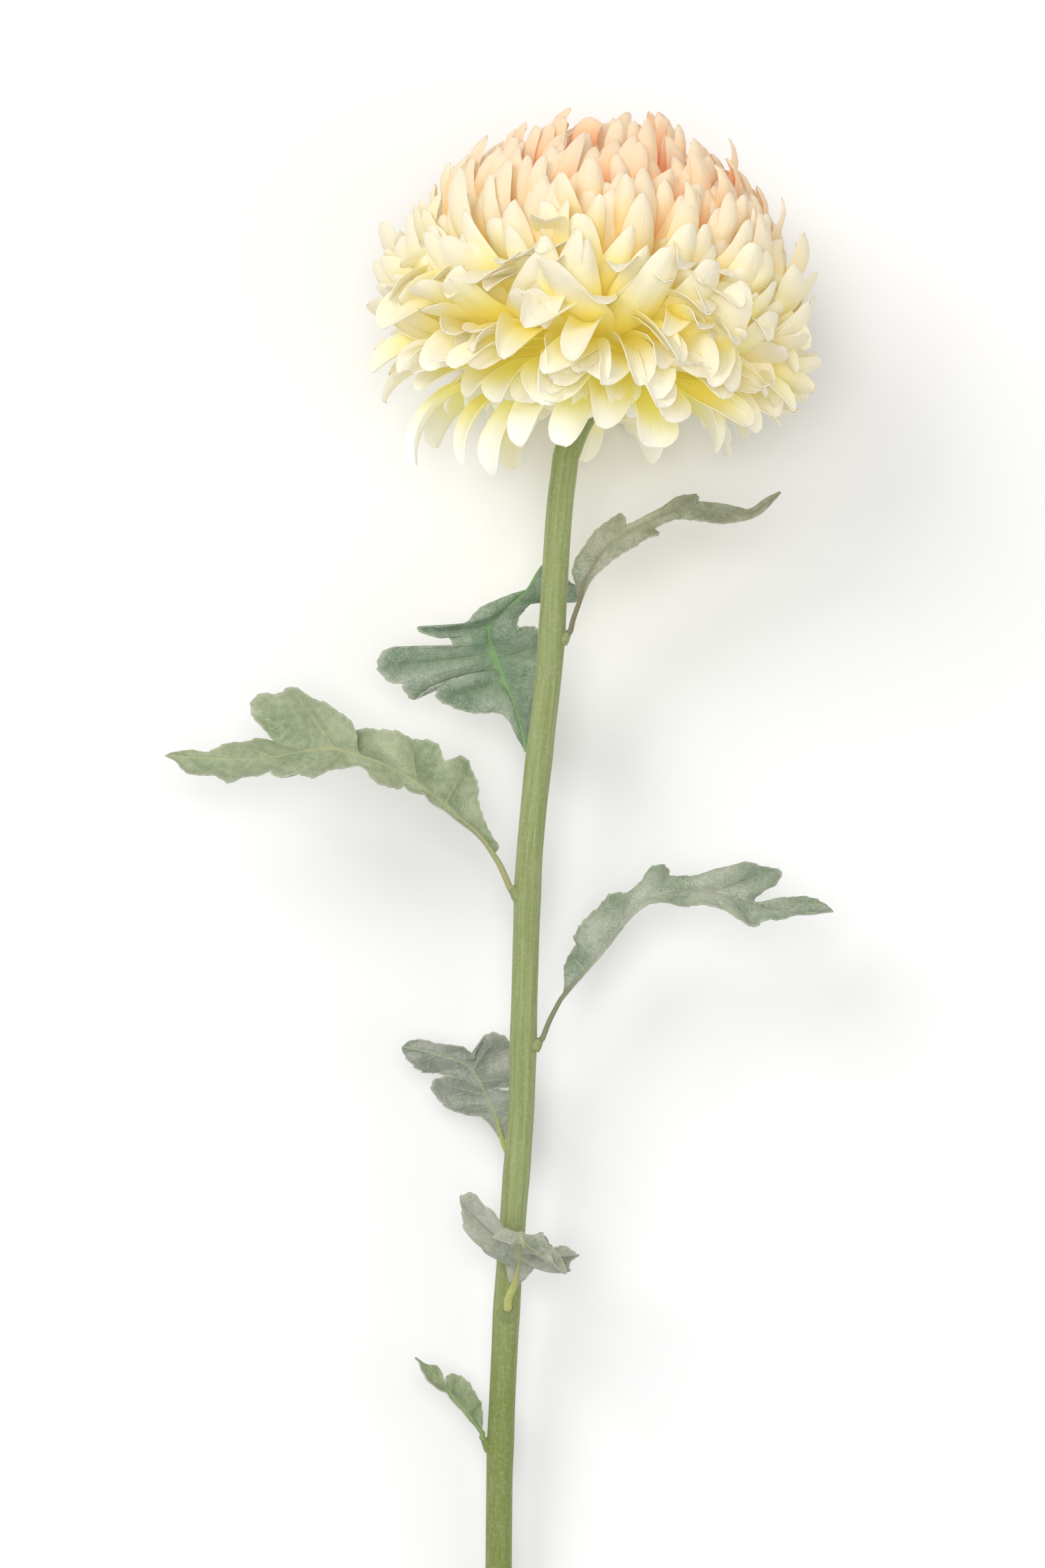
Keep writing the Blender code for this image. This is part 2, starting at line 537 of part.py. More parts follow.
def one_petal(tip, phi, reach, crown, rng):
    """A petal for a tip, with its own small differences."""
    root = math.radians(np.interp(math.degrees(tip), TIP_ANGLES, ROOT_ANGLES))
    petal = {
        "root": root,
        "phi": phi,
        "bend": tip - root + math.radians(rng.gauss(0.0, 1.5)),
        "sway": math.radians(rng.gauss(0.0, 2.0)) / max(math.sin(tip), 0.35),
        "hook": rng.uniform(4.0, 22.0) if crown else rng.uniform(-8.0, 30.0),
        "half": rng.uniform(4.1, 4.9) if crown else rng.uniform(5.2, 6.5),
        "cup": rng.uniform(0.25, 0.45) if crown else rng.uniform(0.10, 0.40),
        "roll": math.radians(rng.gauss(0.0, 7.0 if crown else 12.0)),
        "reach": reach,
        "margin": BORDER_GAP + rng.uniform(0.05, 0.9),
    }
    if tip > math.radians(90.0):
        petal["hook"] *= -0.4
    return petal


def spread_petals(count, first, last, crown, seed):
    """Petals laid out by the golden angle, each a little different."""
    rng = random.Random(seed)
    placed = [] if crown else [np.array(p) for p in PLACED_TIPS]
    petals = [one_petal(*tip_place(p), crown, rng) for p in placed]
    for i in range(count):
        share = (i + 0.5) / count
        tip = math.acos(math.cos(first) - share * (math.cos(first) - math.cos(last)))
        phi = i * GOLDEN_ANGLE + rng.gauss(0.0, 0.04)
        tip = min(max(tip + math.radians(rng.uniform(-2.0, 2.0)), first), last)
        reach = head_reach(tip, phi) * (1.0 + rng.uniform(-0.055, 0.045))
        petal = one_petal(tip, phi, reach, crown, rng)
        end = HEAD_CENTRE + reach * head_frame(np.array((tip,)), np.array((phi,)))[0][0]
        if all(np.linalg.norm(end - p) > PLACED_CLEAR for p in placed):
            petals.append(petal)
    return petals


def shorten_to_surface(petal, crown):
    """Petals under the head stop where they press on the surface."""
    for _ in range(40):
        points, faces = petal_solid(petal, crown)
        low = place(points)[:, 2].min() / MM
        if low >= 0.0:
            break
        petal["reach"] += min(low, -0.02) * 1.02
    return points, faces


def core(name, outline):
    """A turned core about the head's axis, from (distance out, height) pairs."""
    sides = 24
    points = [HEAD_CENTRE + outline[0][1] * AXIS]
    for out, height in outline[1:-1]:
        for k in range(sides):
            angle = 2.0 * math.pi * (k + 0.5) / sides
            ring = math.cos(angle) * RIGHT + math.sin(angle) * FRONT
            points.append(HEAD_CENTRE + out * ring + height * AXIS)
    points.append(HEAD_CENTRE + outline[-1][1] * AXIS)
    faces = []
    rings = len(outline) - 2
    for k in range(sides):
        n = (k + 1) % sides
        faces.append((0, 1 + k, 1 + n))
        for i in range(rings - 1):
            a, b = 1 + i * sides, 1 + (i + 1) * sides
            faces.append((a + k, b + k, b + n, a + n))
        last = 1 + (rings - 1) * sides
        faces.append((last + k, len(points) - 1, last + n))
    return make_object(name, points, faces)


def ball(angle):
    return (CORE_RADIUS * math.sin(math.radians(angle)), CORE_RADIUS * math.cos(math.radians(angle)))


def on_cone(radius, gap):
    angle = float(border_angle(radius))
    return (radius * math.sin(angle), radius * math.cos(angle) + gap)


def make_head():
    half_gap = 0.5 * JOINT_GAP / math.sin(BORDER_ROOT)
    floor_out = math.sqrt(CORE_RADIUS**2 - CORE_FLOOR**2)
    ray_outline = [(0.0, 4.0 - half_gap), (5.9, 4.0 - half_gap), on_cone(CORE_RADIUS, -half_gap)]
    ray_outline += [ball(a) for a in (64.0, 80.0, 96.0, 112.0, 127.0)]
    ray_outline += [(floor_out, CORE_FLOOR), (0.0, CORE_FLOOR)]
    crown_outline = [(0.0, 4.0 + half_gap), (5.9, 4.0 + half_gap), on_cone(CORE_RADIUS, half_gap)]
    crown_outline += [ball(a) for a in (40.0, 24.0, 10.0)]
    crown_outline += [(0.0, CORE_RADIUS)]
    rays = core("ray_petals", ray_outline)
    crown = core("crown_petals", crown_outline)
    tools = []
    for petal in spread_petals(RAY_COUNT, RAY_FIRST, RAY_LAST, False, 11):
        tools.append(make_object("petal", *shorten_to_surface(petal, False)))
    unite(rays, tools)
    tools = []
    for petal in spread_petals(CROWN_COUNT, 0.0, CROWN_LAST, True, 5):
        tools.append(make_object("petal", *shorten_to_surface(petal, True)))
    unite(crown, tools)
    paint(rays, (0.91, 0.84, 0.60), 0.75)
    paint(crown, (0.90, 0.68, 0.46), 0.75)


def make_stem():
    line = [np.array((x, y, 0.0)) for x, y in STEM_LINE]
    radii = [STEM_RADIUS] * len(line)
    cup_top = HEAD_CENTRE + (CORE_FLOOR - JOINT_GAP) * AXIS
    line += [cup_top - 6.0 * AXIS, cup_top]
    radii += [STEM_RADIUS + 0.6, CUP_RADIUS]
    points, faces = tube(line, radii, STEM_SIDES)
    stem = make_object("stem", points, faces)
    nubs = []
    for leaf in LEAVES:
        foot, way, height = leaf_foot(leaf)
        inside = foot - way * NUB_ROOT
        path = (inside, foot, foot + way * height)
        wide = leaf["petiole"] + NUB_FLARE
        radii = (wide, wide, leaf["petiole"] + NUB_RIM)
        nubs.append(make_object("nub", *tube(path, radii, NUB_SIDES)))
    unite(stem, nubs)
    paint(stem, (0.24, 0.31, 0.13), 0.75)


def main():
    for obj in list(bpy.data.objects):
        bpy.data.objects.remove(obj)
    make_stem()
    make_head()
    for leaf in LEAVES:
        make_leaf(leaf)
    corners = np.array([v.co for o in bpy.data.objects for v in o.data.vertices]) / MM
    print("low", corners.min(axis=0), "high", corners.max(axis=0))
    print("triangles", sum(len(o.data.polygons) for o in bpy.data.objects))


main()
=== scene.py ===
# %% [markdown]
# A pompon chrysanthemum on a long artificial stem. Cloth petals radiate from a ball, flocked leaves
# are pushed into sockets on a moulded green stem, and the whole stem lies on its side. The packed
# solids fix every size and place. Each is dressed here with a finer mesh that follows the same rule.

import math
import random

import bmesh
import bpy
import numpy as np
from mathutils import Matrix, Vector


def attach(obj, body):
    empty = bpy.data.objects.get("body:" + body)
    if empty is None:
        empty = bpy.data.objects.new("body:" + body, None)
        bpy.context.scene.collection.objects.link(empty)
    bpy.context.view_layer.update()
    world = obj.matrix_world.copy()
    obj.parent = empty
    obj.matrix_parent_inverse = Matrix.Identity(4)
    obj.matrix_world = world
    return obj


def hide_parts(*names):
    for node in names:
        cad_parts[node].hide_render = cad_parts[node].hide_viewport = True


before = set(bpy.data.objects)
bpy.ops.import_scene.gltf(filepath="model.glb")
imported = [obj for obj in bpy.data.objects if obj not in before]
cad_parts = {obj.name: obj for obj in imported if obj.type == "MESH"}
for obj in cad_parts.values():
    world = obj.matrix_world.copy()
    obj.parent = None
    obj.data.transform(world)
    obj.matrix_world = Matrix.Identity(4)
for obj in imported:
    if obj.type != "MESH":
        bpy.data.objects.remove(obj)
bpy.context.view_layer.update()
print("nodes", sorted(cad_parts))

# %% [markdown]
# A flower is easiest to measure standing up, seen square on. So all places are worked out in
# millimetres in the plane of the stem: right, up the stem, and out towards the viewer. One function
# then tips that plane so that the head lies on its petals and the cut end touches the surface. The
# room's origin is under the middle of the whole flower.

# %% The plane of the stem
MM = 0.001
STEM_RADIUS = 4.4
CUT_END = -87.0
HEAD_CENTRE = np.array((23.0, 398.3, 0.0))
HEAD_HEIGHT = 68.0
TIP_UP = math.asin((HEAD_HEIGHT - STEM_RADIUS) / (HEAD_CENTRE[1] - CUT_END))
ORIGIN = np.array((-7.47, 192.27))


def place(points):
    """Millimetres in the stem's plane to metres in the room; works on any stack of points."""
    points = np.asarray(points, float)
    sine, cosine = math.sin(TIP_UP), math.cos(TIP_UP)
    along = points[..., 1] - CUT_END
    out = points[..., 2]
    x = points[..., 0] - ORIGIN[0]
    y = along * cosine - out * sine + CUT_END - ORIGIN[1]
    z = along * sine + (out + STEM_RADIUS) * cosine
    return np.stack((x, y, z), axis=-1) * MM


print("the stem tips up by", round(math.degrees(TIP_UP), 2), "degrees")

# %% [markdown]
# Three small helpers are used all over: a unit vector, an eased step between two values, and a
# builder that turns arrays of points and faces into one object. The builder also stores named
# values on the points, such as how far along a petal each one lies, for the materials to read.

# %% Mesh helpers
def unit(vector):
    """Vectors scaled to a length of 1."""
    length = np.linalg.norm(vector, axis=-1, keepdims=True)
    return vector / np.maximum(length, 1e-9)


def smoothstep(low, high, value):
    """Eased from 0 at low to 1 at high; low may also be the greater of the two."""
    x = np.clip((value - low) / (high - low), 0.0, 1.0)
    return x * x * (3.0 - 2.0 * x)


class Parts:
    """Collects points, faces and point values of many shells that make one mesh."""

    def __init__(self):
        self.points = []
        self.faces = []
        self.values = {}
        self.count = 0

    def add(self, points, faces, **values):
        """Add one shell; a value is one number for all of it or one for each point."""
        points = np.asarray(points, float).reshape(-1, 3)
        self.points.append(points)
        self.faces.extend([tuple(int(v) + self.count for v in face) for face in faces])
        for name, value in values.items():
            value = np.broadcast_to(np.asarray(value, float), (len(points),))
            self.values.setdefault(name, []).append((self.count, value))
        self.count += len(points)

    def build(self, name, look, node, sharp=50.0):
        """Make the object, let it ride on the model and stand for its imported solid."""
        mesh = bpy.data.meshes.new(name)
        mesh.from_pydata(place(np.concatenate(self.points)).tolist(), [], self.faces)
        mesh.update()
        for key, chunks in self.values.items():
            column = np.zeros(self.count)
            for start, value in chunks:
                column[start : start + len(value)] = value
            layer = mesh.attributes.new(key, "FLOAT", "POINT")
            layer.data.foreach_set("value", column.astype(np.float32))
        shape = bmesh.new()
        shape.from_mesh(mesh)
        bmesh.ops.recalc_face_normals(shape, faces=shape.faces)
        shape.to_mesh(mesh)
        shape.free()
        mesh.shade_smooth()
        mesh.set_sharp_from_angle(angle=math.radians(sharp))
        mesh.materials.append(look.material)
        piece = bpy.data.objects.new(name, mesh)
        bpy.context.scene.collection.objects.link(piece)
        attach(piece, "root")
        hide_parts(node)
        triangles = sum(len(face) - 2 for face in self.faces)
        print(name, "has", triangles, "triangles")


print("an eased step is at", smoothstep(0.0, 4.0, 1.0), "a quarter of the way")

# %% [markdown]
# A thin sheet such as a petal or a leaf starts as a grid of points on its middle surface. Moving
# the grid half a thickness each way along its normals gives a front and a back, and a strip of
# faces round the rim closes them into a solid that has no open edge. Stalks and the stem are tubes:
# rings of points along a line, with each ring joined to the next and a cap at both ends.

# %% Thin sheets and tubes
def sheet_faces(rows, columns):
    """Faces of a closed sheet: front, back, then the rim that joins them."""
    shift = rows * columns
    faces = []
    for i in range(rows - 1):
        for j in range(columns - 1):
            a = i * columns + j
            faces.append((a, a + 1, a + columns + 1, a + columns))
            faces.append((a + shift, a + columns + shift, a + columns + 1 + shift, a + 1 + shift))
    rim = [i * columns for i in range(rows)]
    rim += [(rows - 1) * columns + j for j in range(1, columns)]
    rim += [i * columns + columns - 1 for i in range(rows - 2, -1, -1)]
    rim += [j for j in range(columns - 2, 0, -1)]
    for a, b in zip(rim, rim[1:] + rim[:1]):
        faces.append((a, b, b + shift, a + shift))
    return faces


def sheet_points(grid, half_thickness):
    """Front and back of a sheet: the grid moved half a thickness each way along its normals."""
    along = np.gradient(grid, axis=0)
    athwart = np.gradient(grid, axis=1)
    normal = unit(np.cross(along, athwart))
    both = np.stack((grid + normal * half_thickness, grid - normal * half_thickness))
    return both.reshape(-1, 3)


def ring_turns(sides):
    """The turn of every point round a ring."""
    return 2.0 * math.pi * np.arange(sides) / sides


def ring_faces(rings, sides):
    """Faces of a stack of rings, closed by a cap at each end."""
    faces = []
    for i in range(rings - 1):
        for k in range(sides):
            a, b = i * sides + k, i * sides + (k + 1) % sides
            faces.append((a, b, b + sides, a + sides))
    faces.append(tuple(range(sides)))
    faces.append(tuple(range((rings - 1) * sides, rings * sides)))
    return faces


def tube(line, radii, sides):
    """Rings of points along a line with capped ends, and each point's turn round the ring."""
    line = np.asarray(line, float)
    ahead = unit(np.gradient(line, axis=0))
    side = np.array((0.0, 0.0, 1.0)) if abs(ahead[0][2]) < 0.8 else np.array((1.0, 0.0, 0.0))
    turns = ring_turns(sides)
    rings = []
    for i, centre in enumerate(line):
        side = unit(side - ahead[i] * side.dot(ahead[i]))
        up = np.cross(ahead[i], side)
        spokes = np.outer(np.cos(turns), side) + np.outer(np.sin(turns), up)
        rings.append(centre + np.asarray(radii[i]).reshape(-1, 1) * spokes)
    return np.concatenate(rings), ring_faces(len(line), sides), np.tile(turns, len(line))


print("a sheet of 3 by 3 points has", len(sheet_faces(3, 3)), "faces")

# %% [markdown]
# Materials are written as sums. A Signal wraps one output of a node, and adding or multiplying
# Signals adds Math nodes, so a mask reads like the formula it is. A Look holds one material and has
# a single method that makes any other node from its type, settings and inputs.

# %% Shader arithmetic
NOISE_ROUGHNESS = 0.55


class Signal:
    """One output of a node, used in sums like a number."""

    def __init__(self, look, socket):
        self.look = look
        self.socket = socket

    def math(self, operation, *others):
        """A Math node that works on this signal and on other signals or numbers."""
        values = dict(enumerate((self,) + others))
        return self.look.node("ShaderNodeMath", {"operation": operation}, values)

    def __add__(self, other):
        return self.math("ADD", other)

    def __sub__(self, other):
        return self.math("SUBTRACT", other)

    def __rsub__(self, other):
        return self.look.node("ShaderNodeMath", {"operation": "SUBTRACT"}, {0: other, 1: self})

    def __mul__(self, other):
        return self.math("MULTIPLY", other)

    __radd__ = __add__
    __rmul__ = __mul__

    def step(self, low, high):
        """An eased mask: 0 below low, 1 above high."""
        settings = {"interpolation_type": "SMOOTHSTEP"}
        values = {"Value": self, "From Min": low, "From Max": high}
        return self.look.node("ShaderNodeMapRange", settings, values)


class Look:
    """One material and the nodes that feed its shader."""

    def __init__(self, name, **constants):
        self.material = bpy.data.materials.new(name)
        self.material.use_nodes = True
        self.tree = self.material.node_tree
        self.shader = self.tree.nodes["Principled BSDF"]
        for key, value in constants.items():
            self.shader.inputs[key.replace("_", " ")].default_value = value

    def node(self, kind, settings=None, inputs=None, output=0):
        """Any node, from its type, its settings and the values or links of its inputs."""
        node = self.tree.nodes.new(kind)
        for key, value in (settings or {}).items():
            setattr(node, key, value)
        for key, value in (inputs or {}).items():
            if isinstance(value, Signal):
                self.tree.links.new(value.socket, node.inputs[key])
            else:
                node.inputs[key].default_value = value
        return Signal(self, node.outputs[output])

    def value(self, name):
        """A value that the mesh stores on its points."""
        return self.node("ShaderNodeAttribute", {"attribute_name": name}, output="Fac")

    def spot(self):
        """The place on the object in metres, which keeps a pattern's size the same everywhere."""
        return self.node("ShaderNodeTexCoord", output="Object")

    def noise(self, vector, scale, detail):
        """Cloudy noise: a greater scale gives smaller specks, and more detail a rougher cloud."""
        values = {"Vector": vector, "Scale": scale, "Detail": detail, "Roughness": NOISE_ROUGHNESS}
        return self.node("ShaderNodeTexNoise", {}, values)

    def mix(self, factor, first, second):
        """The first colour where the factor is 0, the second where it is 1."""
        settings = {"data_type": "RGBA", "clamp_factor": True}
        values = {0: factor, 6: self.colour(first), 7: self.colour(second)}
        return self.node("ShaderNodeMix", settings, values, output=2)

    @staticmethod
    def colour(value):
        return value if isinstance(value, Signal) else (*value, 1.0)

    def finish(self, colour, roughness, height, distance, glow=None):
        """Wire colour, roughness, a bump height in metres and a glow into the shader."""
        if glow:
            self.tree.links.new(glow.socket, self.shader.inputs["Emission Color"])
        bump = self.node("ShaderNodeBump", {}, {"Height": height, "Distance": distance})
        self.tree.links.new(colour.socket, self.shader.inputs["Base Color"])
        self.tree.links.new(roughness.socket, self.shader.inputs["Roughness"])
        self.tree.links.new(bump.socket, self.shader.inputs["Normal"])
        print(self.material.name, "uses", len(self.tree.nodes), "nodes")
        return self


print("noise starts from a roughness of", NOISE_ROUGHNESS)

# %% [markdown]
# A cut stem is never quite straight. Its middle is a line through a few points measured on the real
# one, each a place to the right and a height, because a gentle bend needs no more. Leaves look up
# on the same line where they join. It is straight from point to point, and the rod that is made
# along it rounds the corners.

# %% The line of the stem
STEM_LINE = (
    (-8.0, CUT_END), (-8.0, -40.0), (-7.8, 0.0), (-7.5, 33.0), (-6.7, 54.0), (-5.1, 87.0),
    (-2.7, 120.0), (-0.9, 142.0), (-0.2, 153.0), (0.6, 185.0), (1.2, 207.0), (2.0, 230.0),
    (3.8, 250.0), (6.3, 272.0), (8.9, 294.0), (10.2, 315.0), (11.4, 337.0), (13.0, 355.0),
    (15.2, 365.0),
)


def stem_side(height):
    """How far right the stem's middle is at a height, or at each of many heights."""
    rights, heights = zip(*STEM_LINE)
    return np.interp(height, heights, rights)


def stem_at(height):
    """The stem's middle at a height up the stem."""
    return np.array((stem_side(height), height, 0.0))


print("the stem's middle halfway up is at", stem_at(150.0))

# %% [markdown]
# Each leaf is a bare stalk that widens into a lobed blade. Its outline was read off the real leaf,
# as rows from the base to the tip, and scaled to millimetres. A row holds three places, each
# right and up: on the rib, on the far edge and on the near edge. Depths say how far out the rib
# lies, at even steps along it, and the leaf that folds over itself has one for every row. Slopes
# say how each half leans out as it widens, so a leaf can fold up like a gutter. Veins follow the
# rows that are named for each half. The petiole is the radius of the stalk, and dust is how pale
# the blade is at its rib and at its edge.

# %% The seven leaves
LEAVES = (
    {
        "name": "leaf_upper_right",
        "colour": (0.39, 0.39, 0.27), "dust": (0.45, 0.55), "vein": (0.4, 0.4, 0.27),
        "stalk_colour": (0.24, 0.22, 0.13), "slopes": (-0.5, 0.6), "sink": 0.0, "petiole": 1.0,
        "veins": ((5, 11, 15), (8, 14)),
        "stalk": ((14.2, 304.0, 1.0), (16.6, 309.5, 2.2)),
        "depths": (3.5, 5.0, 6.0, 6.0, 5.0, 3.0, 0.0, -2.0, -2.0),
        "rows": (
            (19.1, 316.6, 18.7, 316.9, 19.6, 316.2), (20.1, 321.1, 17.0, 321.8, 21.2, 319.6),
            (22.0, 324.7, 16.4, 325.1, 23.8, 323.3), (25.2, 329.8, 19.4, 332.0, 27.4, 326.5),
            (28.8, 333.8, 25.2, 339.2, 31.6, 329.4), (31.6, 335.9, 31.0, 343.7, 35.7, 332.1),
            (33.4, 337.0, 33.7, 342.1, 39.7, 334.5), (35.2, 338.1, 33.0, 339.7, 43.0, 335.9),
            (38.3, 339.9, 38.8, 342.1, 44.4, 337.4), (42.4, 341.7, 46.1, 346.1, 43.0, 338.7),
            (47.0, 343.6, 52.0, 349.7, 48.4, 341.0), (50.6, 344.6, 56.0, 350.6, 50.6, 341.7),
            (54.2, 345.4, 57.6, 349.3, 54.2, 341.6), (57.5, 345.4, 57.3, 347.7, 58.2, 341.0),
            (65.1, 344.3, 65.1, 347.2, 66.9, 340.7), (70.9, 343.6, 73.0, 345.4, 72.3, 341.4),
            (75.9, 344.6, 75.9, 346.3, 77.4, 343.4), (79.9, 347.9, 79.2, 348.8, 80.8, 346.4),
            (84.1, 351.2, 83.9, 351.3, 84.3, 350.8),
        ),
    },
    {
        "name": "leaf_upper_left",
        "colour": (0.27, 0.36, 0.24), "dust": (0.15, 0.7), "vein": (0.25, 0.45, 0.16),
        "stalk_colour": (0.25, 0.42, 0.16), "slopes": (0.05, -0.05), "sink": 0.6, "petiole": 1.1,
        "veins": ((6, 10, 14, 21), (12, 26)),
        "stalk": ((5.2, 262.0, -4.0), (4.2, 266.0, -6.0)),
        "depths": (-8.0, -10.0, -12.0, -14.0, -14.0, -14.0, -13.0, -12.0, -11.0),
        "rows": (
            (1.3, 266.7, 0.6, 266.7, 2.2, 267.1), (0.0, 272.2, -2.3, 271.8, 3.5, 271.3),
            (-1.6, 278.0, -5.0, 276.9, 6.7, 275.8), (-3.4, 283.4, -8.8, 279.1, 9.0, 280.3),
            (-4.5, 285.9, -14.6, 278.5, 10.0, 283.9), (-5.4, 288.1, -21.0, 280.1, 11.0, 286.7),
            (-6.1, 289.9, -27.0, 282.7, 11.4, 290.3), (-6.7, 291.2, -28.4, 285.4, 11.6, 293.0),
            (-7.2, 292.3, -27.7, 287.8, 11.8, 294.8), (-7.6, 293.2, -32.2, 285.4, 11.8, 296.6),
            (-7.9, 294.3, -36.0, 283.8, 11.8, 298.4), (-8.3, 295.4, -38.9, 286.1, 11.6, 300.3),
            (-8.7, 296.4, -39.6, 288.3, 10.0, 302.2), (-9.0, 297.5, -44.0, 289.2, 7.8, 304.4),
            (-9.4, 298.6, -47.4, 293.4, 5.5, 306.2), (-9.7, 299.7, -46.9, 297.9, 3.5, 307.3),
            (-10.1, 300.8, -42.2, 300.6, 1.3, 307.5), (-10.5, 301.9, -34.6, 299.7, -0.3, 307.0),
            (-10.8, 303.0, -24.4, 300.1, -1.6, 307.7), (-11.0, 304.4, -23.7, 303.7, -1.8, 309.1),
            (-11.0, 305.9, -27.7, 303.7, -1.1, 310.6), (-10.7, 307.3, -33.8, 305.5, -0.1, 312.0),
            (-9.9, 308.8, -34.0, 307.1, 1.3, 313.5), (-8.8, 310.2, -26.4, 307.3, 3.1, 315.3),
            (-7.0, 312.0, -19.7, 308.4, 6.7, 316.6), (-4.9, 313.8, -13.7, 313.5, 12.5, 316.4),
            (-2.7, 315.7, -7.0, 316.7, 17.2, 315.3), (-0.5, 317.5, -1.1, 318.7, 18.7, 317.5),
            (1.3, 319.3, 1.3, 319.6, 17.6, 320.4), (3.1, 321.8, 2.8, 322.0, 14.3, 322.9),
            (4.9, 324.7, 4.6, 325.1, 9.8, 325.6), (6.4, 327.2, 6.2, 327.4, 7.1, 327.2),
        ),
    },
    {
        "name": "leaf_left_arching",
        "colour": (0.40, 0.455, 0.27), "dust": (0.25, 0.3), "vein": (0.48, 0.5, 0.26),
        "stalk_colour": (0.42, 0.42, 0.2), "slopes": (-0.55, 0.9), "sink": 0.0, "petiole": 1.2,
        "veins": ((6, 11, 15, 23, 32), (9, 14, 21, 33)),
        "stalk": ((-2.6, 220.5, 1.5), (-7.0, 228.5, 3.5)),
        "depths": (5.0, 8.0, 11.0, 13.0, 14.0, 14.0, 13.0, 11.0, 8.0, 4.0),
        "rows": (
            (-9.6, 232.9, -8.8, 233.4, -10.1, 232.5), (-12.8, 237.4, -7.8, 235.2, -13.2, 236.7),
            (-15.9, 240.8, -9.6, 239.2, -16.8, 240.3), (-18.6, 243.2, -12.6, 244.3, -20.4, 243.2),
            (-21.2, 245.4, -13.7, 249.7, -23.3, 245.4), (-23.3, 247.2, -15.0, 256.4, -25.9, 247.4),
            (-25.5, 248.8, -17.7, 263.1, -28.4, 249.0), (-27.3, 250.3, -20.8, 264.7, -30.6, 250.8),
            (-28.9, 251.5, -24.4, 263.7, -32.4, 252.6), (-30.6, 252.8, -26.8, 268.2, -33.8, 252.2),
            (-32.4, 254.2, -31.3, 270.0, -36.4, 253.3), (-34.6, 255.9, -36.7, 270.5, -38.2, 255.5),
            (-36.7, 257.5, -41.3, 272.9, -39.3, 254.4), (-38.9, 258.9, -45.8, 274.2, -41.4, 254.1),
            (-41.4, 260.4, -52.1, 273.6, -45.1, 255.0), (-44.3, 261.8, -57.8, 271.3, -48.7, 257.7),
            (-47.6, 263.1, -56.7, 269.6, -51.6, 260.9), (-50.9, 264.2, -54.9, 267.8, -54.5, 261.7),
            (-53.9, 265.1, -53.8, 272.2, -57.6, 261.3), (-55.8, 265.7, -56.7, 277.2, -60.3, 260.6),
            (-57.2, 266.0, -61.7, 281.2, -63.0, 259.5), (-58.5, 266.4, -66.6, 282.9, -65.7, 258.4),
            (-59.6, 266.6, -70.8, 285.4, -67.9, 258.0), (-60.7, 266.7, -75.1, 286.7, -70.8, 258.4),
            (-61.7, 266.9, -79.9, 285.4, -73.3, 258.8), (-62.8, 266.9, -85.3, 285.2, -75.5, 258.9),
            (-63.9, 266.9, -89.3, 282.3, -77.3, 259.1), (-65.0, 266.9, -88.9, 278.7, -78.8, 259.3),
            (-66.1, 266.9, -85.7, 274.9, -79.9, 259.5), (-67.5, 266.7, -81.7, 270.5, -80.9, 259.7),
            (-70.8, 266.2, -83.8, 270.0, -81.5, 259.9), (-75.7, 265.1, -87.1, 270.2, -82.9, 259.9),
            (-81.1, 264.0, -92.9, 268.9, -88.4, 257.7), (-87.5, 263.3, -98.7, 267.8, -94.3, 256.1),
            (-93.8, 263.5, -104.7, 266.7, -98.3, 257.7), (-101.1, 263.8, -109.2, 266.7, -104.7, 259.1),
            (-107.4, 264.2, -112.5, 266.6, -109.9, 260.0),
            (-112.5, 264.6, -114.6, 265.8, -112.8, 263.1),
            (-116.1, 264.6, -116.3, 264.7, -115.9, 264.4),
        ),
    },
    {
        "name": "leaf_right_forked",
        "colour": (0.37, 0.425, 0.3), "dust": (0.9, 0.35), "vein": (0.54, 0.54, 0.44),
        "stalk_colour": (0.26, 0.27, 0.15), "slopes": (-0.55, 0.7), "sink": 0.0, "petiole": 1.0,
        "veins": ((4, 11, 18, 26, 34), (19, 29, 34)),
        "stalk": ((5.2, 171.5, 1.5), (9.0, 179.0, 2.4)),
        "depths": (3.0, 5.0, 7.0, 9.0, 10.0, 11.0, 11.0, 10.0, 8.0, 4.0),
        "rows": (
            (12.6, 185.8, 12.3, 186.1, 13.1, 185.5), (14.5, 188.3, 13.6, 188.9, 15.0, 187.7),
            (16.4, 190.5, 13.9, 192.5, 16.8, 189.9), (18.4, 192.8, 13.6, 196.4, 18.9, 192.2),
            (20.4, 195.2, 15.3, 200.3, 21.0, 194.5), (22.4, 197.5, 17.6, 203.2, 23.0, 196.9),
            (24.3, 199.7, 16.7, 206.0, 25.1, 199.0), (26.1, 202.0, 18.9, 209.1, 26.9, 201.4),
            (27.9, 204.2, 22.0, 212.5, 28.8, 203.5), (29.4, 206.2, 25.4, 216.4, 30.3, 205.7),
            (31.0, 208.2, 28.8, 219.5, 31.9, 207.7), (32.4, 210.2, 31.9, 220.3, 33.4, 209.8),
            (33.8, 211.9, 34.2, 220.2, 35.0, 211.6), (35.0, 213.6, 34.7, 217.4, 36.9, 213.5),
            (36.4, 215.2, 34.5, 219.8, 38.7, 215.0), (38.1, 216.7, 38.1, 223.4, 40.9, 216.6),
            (40.0, 218.0, 41.2, 227.3, 43.7, 217.0), (41.8, 218.9, 44.9, 229.3, 46.8, 217.0),
            (43.7, 219.7, 47.3, 228.7, 49.9, 216.7), (45.7, 220.3, 48.0, 225.9, 53.0, 216.4),
            (48.0, 220.8, 52.2, 225.4, 55.8, 216.1), (50.7, 221.1, 57.4, 226.1, 58.9, 216.1),
            (53.3, 221.2, 62.6, 226.8, 62.0, 216.0), (55.8, 221.2, 67.3, 228.7, 63.9, 215.5),
